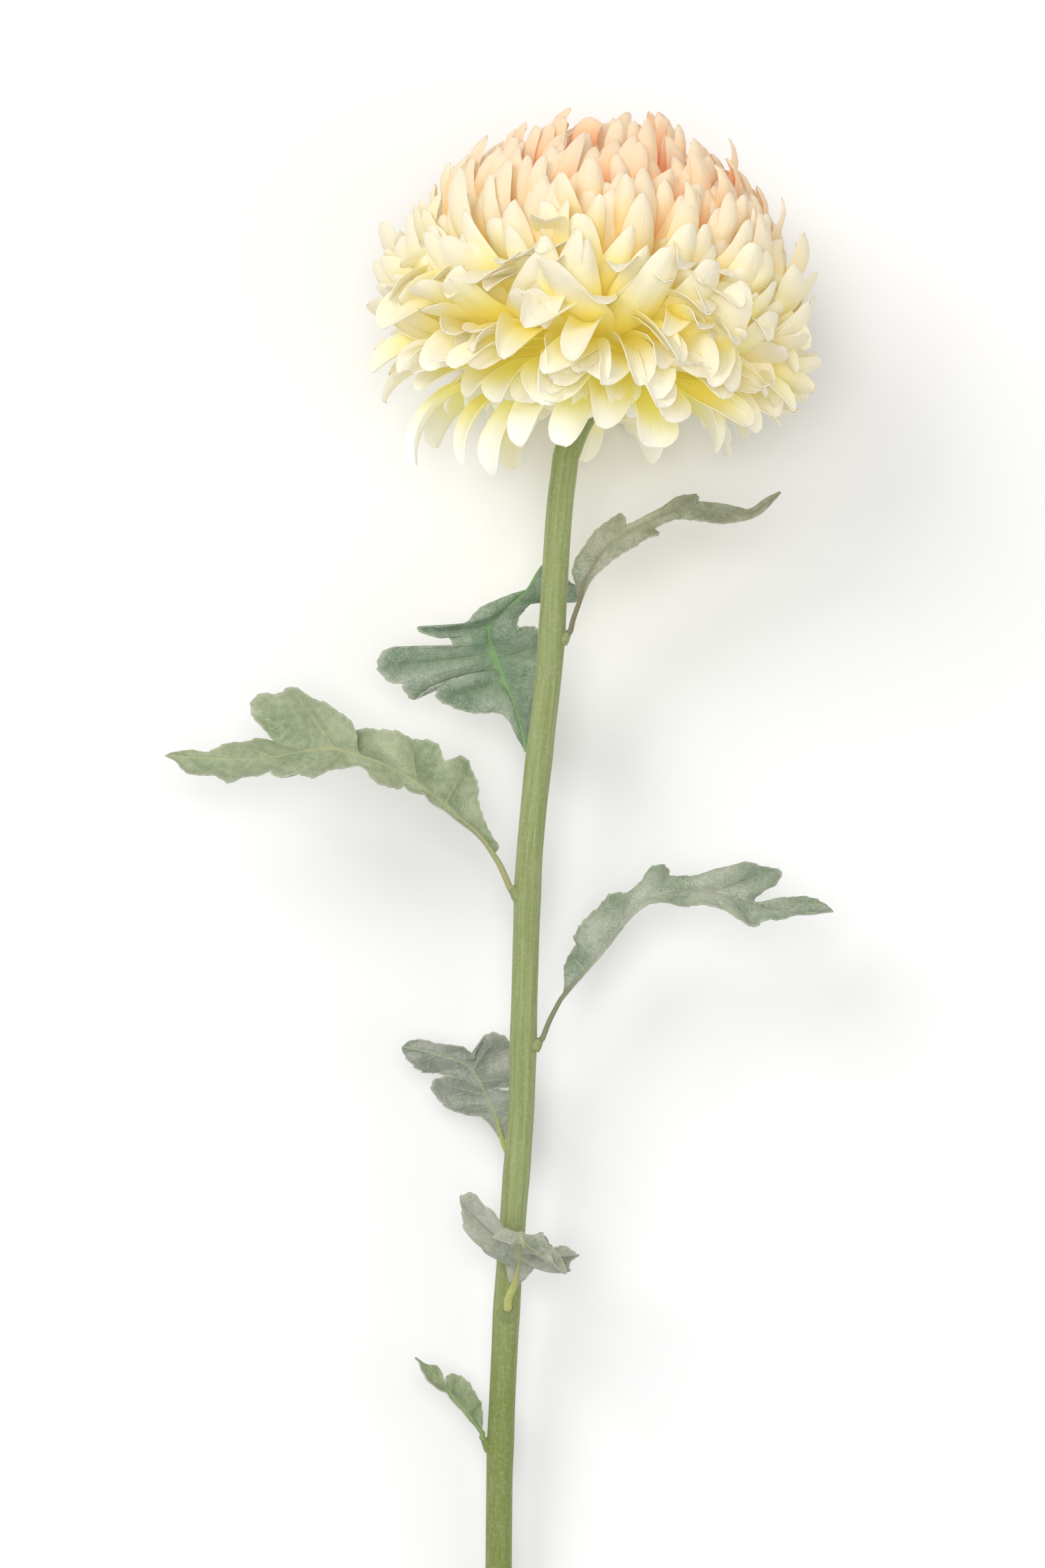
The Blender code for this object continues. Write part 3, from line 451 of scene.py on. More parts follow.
            (58.3, 221.1, 72.6, 229.6, 64.8, 214.9), (60.5, 220.8, 78.2, 229.3, 66.7, 213.2),
            (62.3, 220.5, 82.8, 228.1, 68.5, 211.9), (64.2, 220.2, 84.5, 226.4, 70.9, 211.3),
            (66.1, 219.7, 82.8, 223.1, 73.2, 210.7), (67.9, 219.1, 78.6, 220.6, 75.4, 210.2),
            (70.1, 218.1, 75.1, 217.8, 77.4, 210.4), (73.2, 216.6, 77.9, 216.7, 79.7, 211.0),
            (77.1, 215.3, 84.1, 218.4, 82.5, 211.6), (81.7, 214.7, 89.5, 219.1, 86.6, 212.4),
            (87.2, 214.4, 94.2, 218.4, 90.6, 213.2), (93.4, 214.1, 98.4, 216.6, 95.2, 213.3),
            (101.1, 214.4, 101.0, 214.6, 101.3, 214.3),
        ),
    },
    {
        "name": "leaf_middle_left",
        "colour": (0.37, 0.39, 0.33), "dust": (0.55, 0.6), "vein": (0.4, 0.48, 0.31),
        "stalk_colour": (0.47, 0.5, 0.15), "slopes": (0.1, 0.1), "sink": 0.4, "petiole": 1.1,
        "veins": ((4, 12, 16, 23), (5, 8, 23)),
        "stalk": ((-3.0, 128.0, -3.6), (-4.6, 134.0, -5.6)),
        "depths": (-7.0, -9.0, -11.0, -12.5, -13.0, -13.0, -12.0, -10.0, -8.0),
        "rows": (
            (-6.5, 138.5, -5.8, 138.8, -7.1, 138.8), (-7.1, 141.1, -4.9, 141.6, -8.8, 141.6),
            (-7.9, 143.9, -4.0, 144.7, -11.1, 144.7), (-8.6, 146.4, -3.4, 147.8, -13.8, 147.0),
            (-9.4, 148.6, -3.0, 150.4, -18.1, 147.2), (-10.2, 150.1, -3.0, 152.5, -22.3, 148.4),
            (-10.8, 151.4, -3.4, 154.0, -26.3, 151.4), (-11.4, 152.6, -4.9, 155.1, -29.4, 154.8),
            (-12.0, 153.7, -7.2, 155.4, -29.8, 157.9), (-12.7, 154.8, -9.3, 155.9, -26.6, 159.6),
            (-13.1, 155.7, -7.2, 156.2, -22.0, 159.1), (-13.6, 156.6, -4.1, 156.6, -17.3, 156.5),
            (-14.2, 157.9, -2.7, 159.4, -19.2, 157.9), (-14.8, 159.0, -2.1, 162.9, -20.7, 158.8),
            (-15.5, 160.1, -2.4, 166.9, -22.3, 159.6), (-16.1, 161.0, -4.0, 171.2, -23.9, 160.1),
            (-16.7, 161.8, -7.7, 174.0, -25.4, 160.4), (-17.5, 162.5, -11.4, 173.7, -27.0, 160.5),
            (-18.4, 163.3, -14.1, 170.9, -28.4, 160.7), (-19.5, 164.1, -15.5, 167.5, -29.8, 160.8),
            (-20.7, 164.7, -16.1, 165.3, -31.0, 161.0), (-22.6, 165.5, -17.2, 167.5, -32.5, 161.3),
            (-25.1, 166.3, -19.7, 169.7, -34.4, 162.2), (-27.9, 167.0, -23.9, 170.3, -36.3, 163.8),
            (-31.0, 167.8, -28.2, 170.6, -37.8, 165.5), (-34.4, 168.6, -32.5, 171.9, -38.9, 167.2),
            (-37.5, 169.2, -36.6, 171.6, -39.4, 168.8), (-39.4, 169.7, -39.4, 169.8, -39.5, 169.5),
        ),
    },
    {
        "name": "leaf_front_low",
        "colour": (0.44, 0.45, 0.34), "dust": (0.6, 0.6), "vein": (0.52, 0.50, 0.22),
        "stalk_colour": (0.52, 0.53, 0.18), "slopes": (-0.35, -0.35), "sink": 0.0, "petiole": 1.45,
        "veins": ((3, 9, 15), (5, 9, 15, 20)),
        "stalk": ((-5.0, 84.0, 4.6), (-4.6, 88.5, 7.6)),
        "depths": (
            10.0, 12.0, 14.0, 16.0, 18.0, 20.0, 21.5, 23.0, 24.5, 26.0, 27.5, 29.0, 30.5,
            32.0, 33.0, 34.0, 35.0, 36.8, 39.0, 40.0, 40.5, 40.7, 40.7, 40.5, 40.2, 39.9,
        ),
        "rows": (
            (-2.8, 92.7, -3.6, 92.9, -1.6, 92.6), (-2.3, 94.8, -4.4, 95.3, -0.2, 94.2),
            (-1.9, 96.8, -5.7, 100.1, 1.0, 95.6), (-1.5, 98.6, -8.5, 102.3, 3.2, 98.8),
            (-1.3, 100.0, -12.2, 104.2, 7.0, 101.3), (-1.2, 101.2, -13.7, 107.0, 9.6, 100.5),
            (-1.1, 102.2, -17.1, 111.3, 12.8, 100.0), (-1.0, 103.0, -18.7, 113.4, 15.0, 99.1),
            (-1.0, 103.8, -20.0, 116.6, 15.6, 101.3), (-0.9, 104.6, -20.2, 120.4, 18.2, 102.3),
            (-0.9, 105.3, -19.5, 122.8, 17.5, 104.5), (-0.8, 106.0, -17.5, 123.8, 16.0, 106.1),
            (-0.8, 106.8, -14.9, 123.4, 13.1, 107.0), (-0.7, 107.5, -12.0, 121.4, 10.2, 107.0),
            (-0.7, 108.2, -9.5, 117.6, 9.0, 108.0), (-0.6, 109.2, -7.6, 113.4, 8.0, 109.6),
            (-0.6, 110.3, -5.5, 112.9, 5.8, 111.2), (-0.4, 111.9, -5.2, 113.0, 6.6, 111.4),
            (-0.3, 111.4, -7.0, 112.2, 8.0, 109.3), (-0.2, 110.3, -9.5, 110.9, 10.9, 105.8),
            (0.0, 109.2, -7.9, 109.9, 14.4, 98.6), (0.2, 108.6, -5.7, 109.1, 10.5, 101.3),
            (0.4, 108.1, -3.9, 108.7, 9.3, 104.2), (0.5, 107.8, -2.6, 109.2, 6.4, 106.7),
            (0.6, 107.5, -1.2, 108.8, 5.5, 108.0), (0.8, 107.7, 0.3, 107.9, 2.0, 108.0),
        ),
    },
    {
        "name": "leaf_bottom_left",
        "colour": (0.365, 0.42, 0.225), "dust": (0.2, 0.4), "vein": (0.33, 0.45, 0.2),
        "stalk_colour": (0.27, 0.36, 0.14), "slopes": (-0.55, 0.8), "sink": 0.0, "petiole": 1.0,
        "veins": ((3, 7, 12), (9,)),
        "stalk": ((-11.8, 41.0, 1.0), (-13.0, 44.0, 1.6)),
        "depths": (2.0, 3.0, 4.0, 4.0, 4.0, 3.5, 3.0),
        "rows": (
            (-13.9, 45.2, -13.3, 45.3, -14.4, 45.0), (-15.5, 47.2, -12.8, 48.0, -16.1, 47.0),
            (-17.0, 49.2, -13.1, 51.1, -17.8, 49.0), (-18.6, 51.2, -13.6, 54.2, -19.3, 51.1),
            (-20.0, 52.9, -15.5, 57.6, -20.9, 52.8), (-21.4, 54.5, -17.3, 60.4, -22.5, 54.5),
            (-22.6, 55.9, -19.7, 62.4, -23.7, 56.0), (-23.7, 57.1, -22.3, 63.5, -24.8, 57.7),
            (-24.6, 58.2, -24.6, 63.0, -27.0, 58.7), (-25.6, 59.3, -24.9, 60.8, -29.1, 60.1),
            (-26.5, 60.4, -25.9, 62.7, -31.0, 61.5), (-27.6, 61.6, -26.6, 64.9, -31.6, 63.2),
            (-28.8, 63.0, -28.5, 66.4, -32.2, 64.6), (-30.4, 64.7, -30.7, 66.6, -32.9, 66.0),
            (-32.5, 66.7, -32.9, 67.5, -33.6, 67.4), (-35.0, 68.8, -35.0, 68.9, -35.2, 68.6),
        ),
    },
)
PETIOLE_NECK = 0.78
FOOT_ELBOW = 0.35
FOOT_SPAN = 5.0
NUB_CLEAR = 0.35
NUB_LEAST = 1.0
JOINT_GAP = 0.3


def leaf_rows(leaf):
    """Rows of the rib (right, up, out), the far edge and the near edge (right, up).

    The depths between the even steps are worked out to a tenth of a millimetre.
    """
    flat = np.array(leaf["rows"], float)
    steps = np.linspace(0.0, 1.0, len(leaf["depths"]))
    depths = np.interp(np.linspace(0.0, 1.0, len(flat)), steps, leaf["depths"])
    return np.column_stack((flat[:, :2], np.round(depths, 1), flat[:, 2:]))


def leaf_foot(leaf):
    """Where a stalk leaves the stem: skin point, way out, and how far out its nub ends."""
    foot, lead = np.array(leaf["stalk"], float)
    stem_way = unit(stem_at(foot[1] + FOOT_SPAN) - stem_at(foot[1] - FOOT_SPAN))
    away = foot - stem_at(foot[1])
    outward = unit(away - stem_way * away.dot(stem_way))
    way = unit(unit(lead - foot) + FOOT_ELBOW * outward)
    lean = abs(way.dot(stem_way))
    rise = math.sqrt(1.0 - lean * lean)
    out = np.linalg.norm(away) - STEM_RADIUS
    height = (NUB_CLEAR + leaf["petiole"] * lean - out) / rise
    return foot, way, max(height, NUB_LEAST)


for leaf in LEAVES:
    print(leaf["name"], "has", len(leaf["rows"]), "rows")

# %% [markdown]
# The stem is one moulded rod of soft plastic. It has shallow ridges that run along it, slight
# swellings where leaves join, a clean cut at its end and a cup that carries the head. The ridges
# are real geometry, so they catch the light and show at the outline. They are waves round each
# ring that twist a little with the height.

# %% Stem rod
HEAD_LEAN = math.radians(9.5)
AXIS = np.array((math.sin(HEAD_LEAN), math.cos(HEAD_LEAN), 0.0))
RIGHT = np.array((math.cos(HEAD_LEAN), -math.sin(HEAD_LEAN), 0.0))
FRONT = np.array((0.0, 0.0, 1.0))
CORE_FLOOR = -16.0
CUP_RADIUS = 9.0
CUP_FOOT = 362.0
STEM_SIDES = 72
STEM_RINGS = 230
CORNER_RINGS = 4
CUP_RINGS = 8
CUT_BEVEL = 0.35
CUT_INSET = 0.3
SKIN_SINK = 0.12
RIDGES = ((0.04, 9.0, 0.004), (0.03, 14.0, -0.007))
SWELLING = 0.18
SWELLING_SPAN = 7.0


def stem_radius(height, turns):
    """The ridged outline of the stem at a height."""
    radius = STEM_RADIUS - SKIN_SINK
    for depth, count, twist in RIDGES:
        radius = radius + depth * np.cos(count * turns + twist * height)
    for leaf in LEAVES:
        radius += SWELLING * math.exp(-(((height - leaf["stalk"][0][1]) / SWELLING_SPAN) ** 2))
    return radius


def stem_parts():
    turns = ring_turns(STEM_SIDES)
    rod = np.linspace(CUT_END + 2.0, CUP_FOOT, STEM_RINGS)
    heights = np.concatenate(((CUT_END, CUT_END + CUT_BEVEL), rod))
    window = 2 * CORNER_RINGS + 1
    padded = np.pad(stem_side(heights), CORNER_RINGS, mode="edge")
    rights = np.convolve(padded, np.ones(window) / window, mode="valid")
    line = [np.array((right, up, 0.0)) for right, up in zip(rights, heights)]
    radii = [stem_radius(up, turns) for up in heights]
    radii[0] = radii[0] - CUT_INSET
    cup_foot = line[-1]
    cup_top = HEAD_CENTRE + (CORE_FLOOR - JOINT_GAP) * AXIS
    for share in np.linspace(0.15, 1.0, CUP_RINGS):
        line.append(cup_foot * (1.0 - share) + cup_top * share)
        radii.append(np.full(STEM_SIDES, STEM_RADIUS + (CUP_RADIUS - STEM_RADIUS) * share**3))
    points, faces, around = tube(line, radii, STEM_SIDES)
    parts = Parts()
    along = np.repeat([p[1] for p in line], STEM_SIDES)
    parts.add(points, faces, ring_x=np.cos(around), ring_y=np.sin(around), along=along, nub=0.0)
    return parts


print("the stem is", 2.0 * STEM_RADIUS, "mm thick and its cup", 2.0 * CUP_RADIUS)

# %% [markdown]
# Every leaf is plugged into a low nub with a hole in it. A nub is a turned shape, like a bowl: its
# profile runs up the outside, over the rim and down into the hole. Each pair in it is how far out
# from the stem's skin, and how much wider than the stalk. A second list paints the shade down in
# the hole.

# %% Leaf sockets
NUB_SIDES = 28
# How much painted shade each ring of a nub gets, darkest down in the hole.
SOCKET_SHADE = (0, 0, 0, 0, 0, 0, 0.2, 0.6, 1, 1)


def add_nub(parts, leaf):
    """A low swelling with a socket that the stalk is pushed into, with painted shade down in it."""
    foot, way, height = leaf_foot(leaf)
    thick = leaf["petiole"]
    profile = ((-2.4, 1.3), (-0.9, 1.0), (0.0, 0.62), (0.4 * height, 0.40), (0.8 * height, 0.26),
               (height - 0.03, 0.18), (height, 0.10), (height - 0.10, -0.03), (height - 0.8, -0.08),
               (height - 0.9, 0.3 - thick))
    outs = np.repeat([out for out, wider in profile], NUB_SIDES)
    widths = np.repeat([thick + wider for out, wider in profile], NUB_SIDES)
    around = np.tile(ring_turns(NUB_SIDES), len(profile))
    flat = unit(np.cross(way, FRONT + 0.01))
    spokes = np.outer(np.cos(around), flat) + np.outer(np.sin(around), np.cross(way, flat))
    points = foot + np.outer(outs, way) + widths[:, None] * spokes
    parts.add(points, ring_faces(len(profile), NUB_SIDES), ring_x=np.cos(around),
              ring_y=np.sin(around), along=foot[1], nub=np.repeat(SOCKET_SHADE, NUB_SIDES) + 0.01)


for leaf in LEAVES:
    print(leaf["name"], "has a socket", round(leaf_foot(leaf)[2], 2), "mm out from the skin")

# %% [markdown]
# The plastic is a soft matt green with yellow-green and grey-green streaks along it and a dusty
# bloom, and it is deeper and greener at its lower end. The streaks are noise that is stretched
# along the stem and wrapped round it. That is why the mesh stores how far round and how far up
# each point is. The shade down in each socket is painted near black, by a value that only the nubs
# have.

# %% Stem finish
ALONG_STRETCH = 0.035


def stem_look():
    """Soft plastic with streaks along it, a dusty bloom and painted shade in its sockets."""
    look = Look("stem_plastic", Specular_IOR_Level=0.2, Sheen_Weight=0.2, Sheen_Roughness=0.4)
    along = look.value("along")
    ring_x, ring_y = look.value("ring_x") * STEM_RADIUS, look.value("ring_y") * STEM_RADIUS
    wrap = look.node("ShaderNodeCombineXYZ", {}, {0: ring_x, 1: ring_y, 2: along * ALONG_STRETCH})
    streak = look.noise(wrap, 0.8, 4.0).step(0.35, 0.68)
    fine = look.noise(wrap, 3.2, 3.0).step(0.40, 0.70)
    dust = look.noise(look.spot(), 900.0, 2.0).step(0.45, 0.75)
    low = along.step(118.0, 40.0)
    colour = look.mix(streak, (0.235, 0.285, 0.095), (0.320, 0.375, 0.155))
    colour = look.mix(low * 0.75, colour, (0.165, 0.215, 0.03))
    colour = look.mix(fine * 0.30, colour, (0.410, 0.440, 0.235))
    colour = look.mix(dust * 0.22, colour, (0.56, 0.56, 0.44))
    # The shade down in each socket hole is painted near black.
    socket_shade = look.value("nub").step(0.3, 0.9)
    colour = look.mix(socket_shade, colour, (0.03, 0.04, 0.02))
    roughness = 0.62 + dust * 0.2
    height = fine * 0.5 + dust * 0.4
    return look.finish(colour, roughness, height, 0.0001)


stem = stem_parts()
for leaf in LEAVES:
    add_nub(stem, leaf)
stem.build("stem_rod", stem_look(), "stem")

# %% [markdown]
# A blade is a fan of rows. Each row goes from one edge over the midrib to the other, so rows that
# crowd together at the rib can spread round a lobe. Between the given rows the blade follows
# Catmull-Rom curves, which pass through every one of them, with fine teeth on the edge, a soft
# ripple, and folds between the side veins.

# %% Blade shape
def smooth_rows(values, steps):
    """Rows on smooth curves through the given rows, with so many steps from one to the next."""
    values = np.asarray(values, float)
    ends = np.concatenate((2.0 * values[:1] - values[1:2], values, 2.0 * values[-1:] - values[-2:-1]))
    rows = []
    for k in range(len(values) - 1):
        before, a, b, after = ends[k : k + 4]
        for t in np.arange(steps) / steps:
            rows.append(0.5 * (2.0 * a + (b - before) * t
                               + (2.0 * before - 5.0 * a + 4.0 * b - after) * t**2
                               + (3.0 * a - before - 3.0 * b + after) * t**3))
    rows.append(values[-1])
    return np.array(rows)


ROW_STEPS = 5
HALF_COLUMNS = 12
FULL_WIDTH = 10.0
TOOTH_PITCH = 3.6
TOOTH_DEPTH = 0.75
RIPPLE_PITCH = 12.0
RIPPLE_HEIGHT = 0.7
BOW = 0.06
PLEAT = 0.18
PLEAT_MOST = 3.0
GROOVE_DEPTH = 0.25
GROOVE_WIDTH = 0.9
VEIN_WIDTH = 0.38
RIB_WIDTH = 0.55
LEAF_HALF_THICKNESS = 0.24


def pleats(rows, marks):
    """How far the blade bulges between its side veins: 0 on a vein and 1 midway."""
    stops = sorted({0.0, rows[-1], *marks})
    bulge = np.zeros(len(rows))
    for low, high in zip(stops[:-1], stops[1:]):
        inside = (rows >= low) & (rows <= high)
        bulge[inside] = np.sin(math.pi * (rows[inside] - low) / (high - low))
    return bulge


def blade_half(rib, edge, share, bulge, phase, side):
    """One half of a blade, from the rib out to a toothed and rippled edge."""
    steps = np.linalg.norm(np.diff(edge, axis=0), axis=1)
    run = np.concatenate(((0.0,), np.cumsum(steps)))
    width = np.linalg.norm(edge - rib, axis=1)
    size = np.clip(width / FULL_WIDTH, 0.0, 1.0)
    saw = (run / TOOTH_PITCH + phase) % 1.0
    tooth = size * TOOTH_DEPTH * (saw**1.5 - 0.4)
    edge = edge + unit(edge - rib) * tooth[:, None]
    ahead = unit(np.gradient(rib, axis=0))
    over = unit(np.cross(ahead, edge - rib)) * side
    points = rib[:, None, :] + share[None, :, None] * (edge - rib)[:, None, :]
    ripple = np.sin(2.0 * math.pi * (run / RIPPLE_PITCH + phase))[:, None] * share**2
    ripple = ripple * (size * RIPPLE_HEIGHT)[:, None]
    hill = 4.0 * share * (1.0 - share)
    bow = BOW * width[:, None] * hill
    fold = (bulge - 0.45)[:, None] * (0.75 * hill + 0.5 * share)
    pleat = np.minimum(PLEAT * width, PLEAT_MOST)[:, None] * fold
    groove = GROOVE_DEPTH * np.exp(-((share * width[:, None] / GROOVE_WIDTH) ** 2))
    height = ripple + bow + pleat - groove
    return points + height[..., None] * over[:, None, :], fold + 0.25 * ripple


def vein_mask(grid, rows, share, marks):
    """Thin lines along the marked rows, of even width however far apart the rows are."""
    gap = np.linalg.norm(np.gradient(grid, axis=0), axis=2) * ROW_STEPS
    mask = np.zeros(gap.shape)
    for mark in marks:
        off = (rows - mark)[:, None] * gap
        line = np.exp(-((off / VEIN_WIDTH) ** 2)) * (1.0 - share**2)
        mask = np.maximum(mask, line)
    return mask


def leaf_grid(leaf, phase):
    """Middle surface of a blade, its veins and how high its folds are, from near edge to far."""
    rows = smooth_rows(leaf_rows(leaf), ROW_STEPS)
    place_on_rib = np.arange(len(rows)) / ROW_STEPS
    rib = rows[:, :3]
    share = np.linspace(0.0, 1.0, HALF_COLUMNS + 1)
    edges = (rows[:, 3:5], rows[:, 5:7])
    halves = []
    for flat, slope, marks, side in zip(edges, leaf["slopes"], leaf["veins"], (1.0, -1.0)):
        depth = slope * np.linalg.norm(flat - rib[:, :2], axis=1)
        edge = np.column_stack((flat, rib[:, 2] + depth))
        bulge = pleats(place_on_rib, marks)
        half, fold = blade_half(rib, edge, share, bulge, phase + 0.3 * side, side)
        lines = vein_mask(half, place_on_rib, share, marks)
        width = np.linalg.norm(edge - rib, axis=1)[:, None]
        centre = np.exp(-((share * width / RIB_WIDTH) ** 2))
        halves.append((half, np.maximum(lines * 0.8, centre), fold))
    return [np.concatenate((near[:, ::-1], far[:, 1:]), axis=1) for far, near in zip(*halves)]


def leaf_parts(leaf, phase):
    """A blade as a closed sheet, with the values that its flock reads."""
    grid, veins, folds = leaf_grid(leaf, phase)
    rows, columns = veins.shape
    across = np.linspace(-1.0, 1.0, columns)
    parts = Parts()
    parts.add(sheet_points(grid, LEAF_HALF_THICKNESS), sheet_faces(rows, columns),
              vein=np.tile(veins.ravel(), 2), edge=np.tile(np.abs(across), rows * 2),
              stalk=0.0, fold=np.tile(folds.ravel(), 2))
    return parts


print("a half blade has", HALF_COLUMNS, "columns and", ROW_STEPS, "steps from row to row")

# %% [markdown]
# The stalk is moulded plastic with a paler yellow-green than the blade. It starts down in its
# socket, thins towards the blade and runs on along it as the raised midrib. The sink of a leaf says
# how deep the rib lies in the blade, because a leaf seen from its face hides most of it.

# %% Leaf stalks
STALK_SIDES = 12
RIB_STEPS = 3
NECK_STEPS = 6
RIB_THIN = 0.24
RIB_END = 0.88
SOCKET_DEPTH = 0.7


def add_stalk(parts, leaf):
    """A tube from the socket to the blade, then along the rib; stalk says how bare it is."""
    foot, way, height = leaf_foot(leaf)
    rows = smooth_rows(leaf_rows(leaf), RIB_STEPS)
    rib = rows[:, :3]
    under = np.column_stack((rows[:, 3:5], rib[:, 2])) - rib
    under = unit(np.cross(np.gradient(rib, axis=0), under))
    start = foot + way * (height + JOINT_GAP)
    thick = leaf["petiole"]
    knots = np.array([start, start + way * 0.9, leaf["stalk"][1], rib[0], rib[2]])
    neck = smooth_rows(knots, NECK_STEPS)[:-NECK_STEPS]
    line = [foot + way * (height - SOCKET_DEPTH)] + list(neck)
    radii = [thick - 0.2] + list(thick * np.linspace(1.0, PETIOLE_NECK, len(neck)))
    last = int(len(rib) * RIB_END)
    bare = [1.0] * len(line)
    for k in range(1, last):
        share = k / last
        bare.append(max(1.0 - share / 0.35, 0.0))
        taper = (1.0 - min(share / 0.3, 1.0)) ** 2
        radius = thick * (RIB_THIN + (PETIOLE_NECK - RIB_THIN) * taper) - 0.1 * share
        line.append(rib[k] - under[k] * leaf["sink"] * radius)
        radii.append(radius)
    points, faces, _ = tube(line, radii, STALK_SIDES)
    parts.add(points, faces, vein=0.7, edge=0.0, stalk=np.repeat(bare, STALK_SIDES), fold=0.0)


print("stalks join at heights", [leaf["stalk"][0][1] for leaf in LEAVES])

# %% [markdown]
# The blades are flocked: tiny fibres give them a dusty velvet skin. Sheen on the shader brightens
# them at grazing angles, and noise of a few sizes mixes a grey dust over the green. The dust lies
# thicker on the raised folds, partly as a painted highlight, and the valleys between the folds are
# painted darker as shade. Veins are pale yellow-green, and the edges are worn paler. Every leaf has
# its own green.

# %% Leaf finish
def leaf_look(leaf):
    """Flocked cloth in the leaf's own greens, with its veins and its bare stalk."""
    look = Look(leaf["name"] + "_flock", Specular_IOR_Level=0.12, Sheen_Weight=0.2,
                Sheen_Roughness=0.5)
    spot = look.spot()
    cloud = look.noise(spot, 75.0, 4.0).step(0.36, 0.66)
    mottle = look.noise(spot, 420.0, 3.0).step(0.34, 0.68)
    fuzz = look.noise(spot, 1500.0, 2.0).step(0.38, 0.66)
    deep = tuple(v * share for v, share in zip(leaf["colour"], (0.55, 0.66, 0.58)))
    light = tuple(v * 1.1 for v in leaf["colour"])
    colour = look.mix(cloud * 0.5 + mottle * 0.5, deep, light)
    rib_dust, edge_dust = leaf["dust"]
    edge = look.value("edge")
    raised = look.value("fold").step(-0.45, 0.55)
    dust = (edge * (edge_dust - rib_dust) + rib_dust) * (cloud * 0.35 + fuzz * 0.65)
    # Dust lies thicker on raised folds: real dust, and also a painted highlight on the ridges.
    dust = dust * (raised * 0.9 + 0.35)
    # The valleys between the folds are painted darker, as shade.
    dark = tuple(v * 0.45 for v in leaf["colour"])
    colour = look.mix((1.0 - raised) * 0.35, colour, dark)
    colour = look.mix(dust, colour, (0.55, 0.545, 0.47))
    colour = look.mix(edge.step(0.92, 1.0) * 0.5, colour, (0.58, 0.58, 0.48))
    vein = look.value("vein").step(0.12, 0.9)
    colour = look.mix(vein * 0.65, colour, leaf["vein"])
    colour = look.mix(look.value("stalk"), colour, leaf["stalk_colour"])
    roughness = 0.85 + fuzz * 0.12
    height = fuzz * 0.5 + mottle * 0.4 - vein * 0.5
    return look.finish(colour, roughness, height, 0.0003)


for number, leaf in enumerate(LEAVES):
    parts = leaf_parts(leaf, 0.17 * number)
    add_stalk(parts, leaf)
    parts.build(leaf["name"] + "_blade", leaf_look(leaf), leaf["name"])

# %% [markdown]
# Petals follow the golden angle, the turn that spreads seeds evenly in a real flower head. A petal
# is known by its tip: how far from the top, how far round, and how far out. A table of a few angles
# says where a petal with such a tip has its root, and so how far it bends. Where the longest tips
# show at the outline, petals are placed one by one, and the even ones near them are left out.

# %% The petal rule
CORE_RADIUS = 21.0
ROOT_RADIUS = 16.5
HEAD_SKIRT = 23.0
BORDER_ROOT = math.radians(56.0)
BORDER_BEND = math.radians(-9.0)
PETAL_REACH = 75.5
LOWER_SHORTER = 17.0
RAY_COUNT = 164
RAY_FIRST = math.radians(52.0)
RAY_LAST = math.radians(142.0)
CROWN_COUNT = 76
CROWN_LAST = math.radians(42.0)
TIP_ANGLES = (0.0, 20.0, 42.0, 52.0, 70.0, 88.0, 104.0, 122.0, 142.0)
ROOT_ANGLES = (0.0, 24.0, 50.0, 62.0, 83.0, 92.0, 98.0, 110.0, 126.0)
GOLDEN_ANGLE = math.pi * (3.0 - math.sqrt(5.0))
PLACED_CLEAR = 8.5
PLACED_TIPS = (
    (17.0, 362.0, 36.0), (-8.0, 355.5, 22.0), (41.5, 361.0, 31.0), (0.0, 366.0, 34.0),
    (99.0, 393.5, 4.0), (-48.0, 440.0, -3.0), (-51.5, 424.0, 5.0), (-49.0, 394.0, 3.0),
    (-46.5, 383.0, 12.0), (-39.0, 366.5, -2.0), (-23.0, 361.0, 8.0), (64.5, 363.0, 9.0),
    (82.0, 366.5, 2.0), (97.0, 422.0, -2.0), (94.0, 434.0, 8.0), (28.0, 368.0, 40.0),
    (79.0, 372.0, 16.0), (87.0, 379.0, -8.0), (17.0, 364.0, -38.0), (-7.0, 360.0, -28.0),
    (40.0, 363.0, -33.0), (64.0, 366.0, -22.0), (-32.0, 368.0, -22.0), (2.0, 369.0, -41.0),
    (76.0, 373.0, -20.0),
)


def head_frame(theta, phi):
    """Outward, away-from-the-top and round-about directions at places on the head."""
    theta, phi = np.asarray(theta)[..., None], np.asarray(phi)[..., None]
    flat = np.cos(phi) * RIGHT + np.sin(phi) * FRONT
    outward = np.cos(theta) * AXIS + np.sin(theta) * flat
    away = -np.sin(theta) * AXIS + np.cos(theta) * flat
    about = -np.sin(phi) * RIGHT + np.cos(phi) * FRONT
    return outward, away, about


def tip_place(point):
    """Polar angle, turn and distance of a point seen from the middle of the head."""
    away = np.asarray(point, float) - HEAD_CENTRE
    reach = float(np.linalg.norm(away))
    theta = math.acos(away.dot(AXIS) / reach)
    return theta, math.atan2(away.dot(FRONT), away.dot(RIGHT)), reach


def head_reach(theta, phi):
    """How far petals reach from the middle of the head."""
    side = math.sin(theta) * math.cos(phi)
    low = smoothstep(math.radians(84.0), math.radians(135.0), theta)
    reach = PETAL_REACH - LOWER_SHORTER * low - (0.5 + 4.0 * low) * side
    if theta > math.radians(100.0):
        reach = min(reach, (HEAD_SKIRT - 4.0 * side) / -math.cos(theta))
    return reach


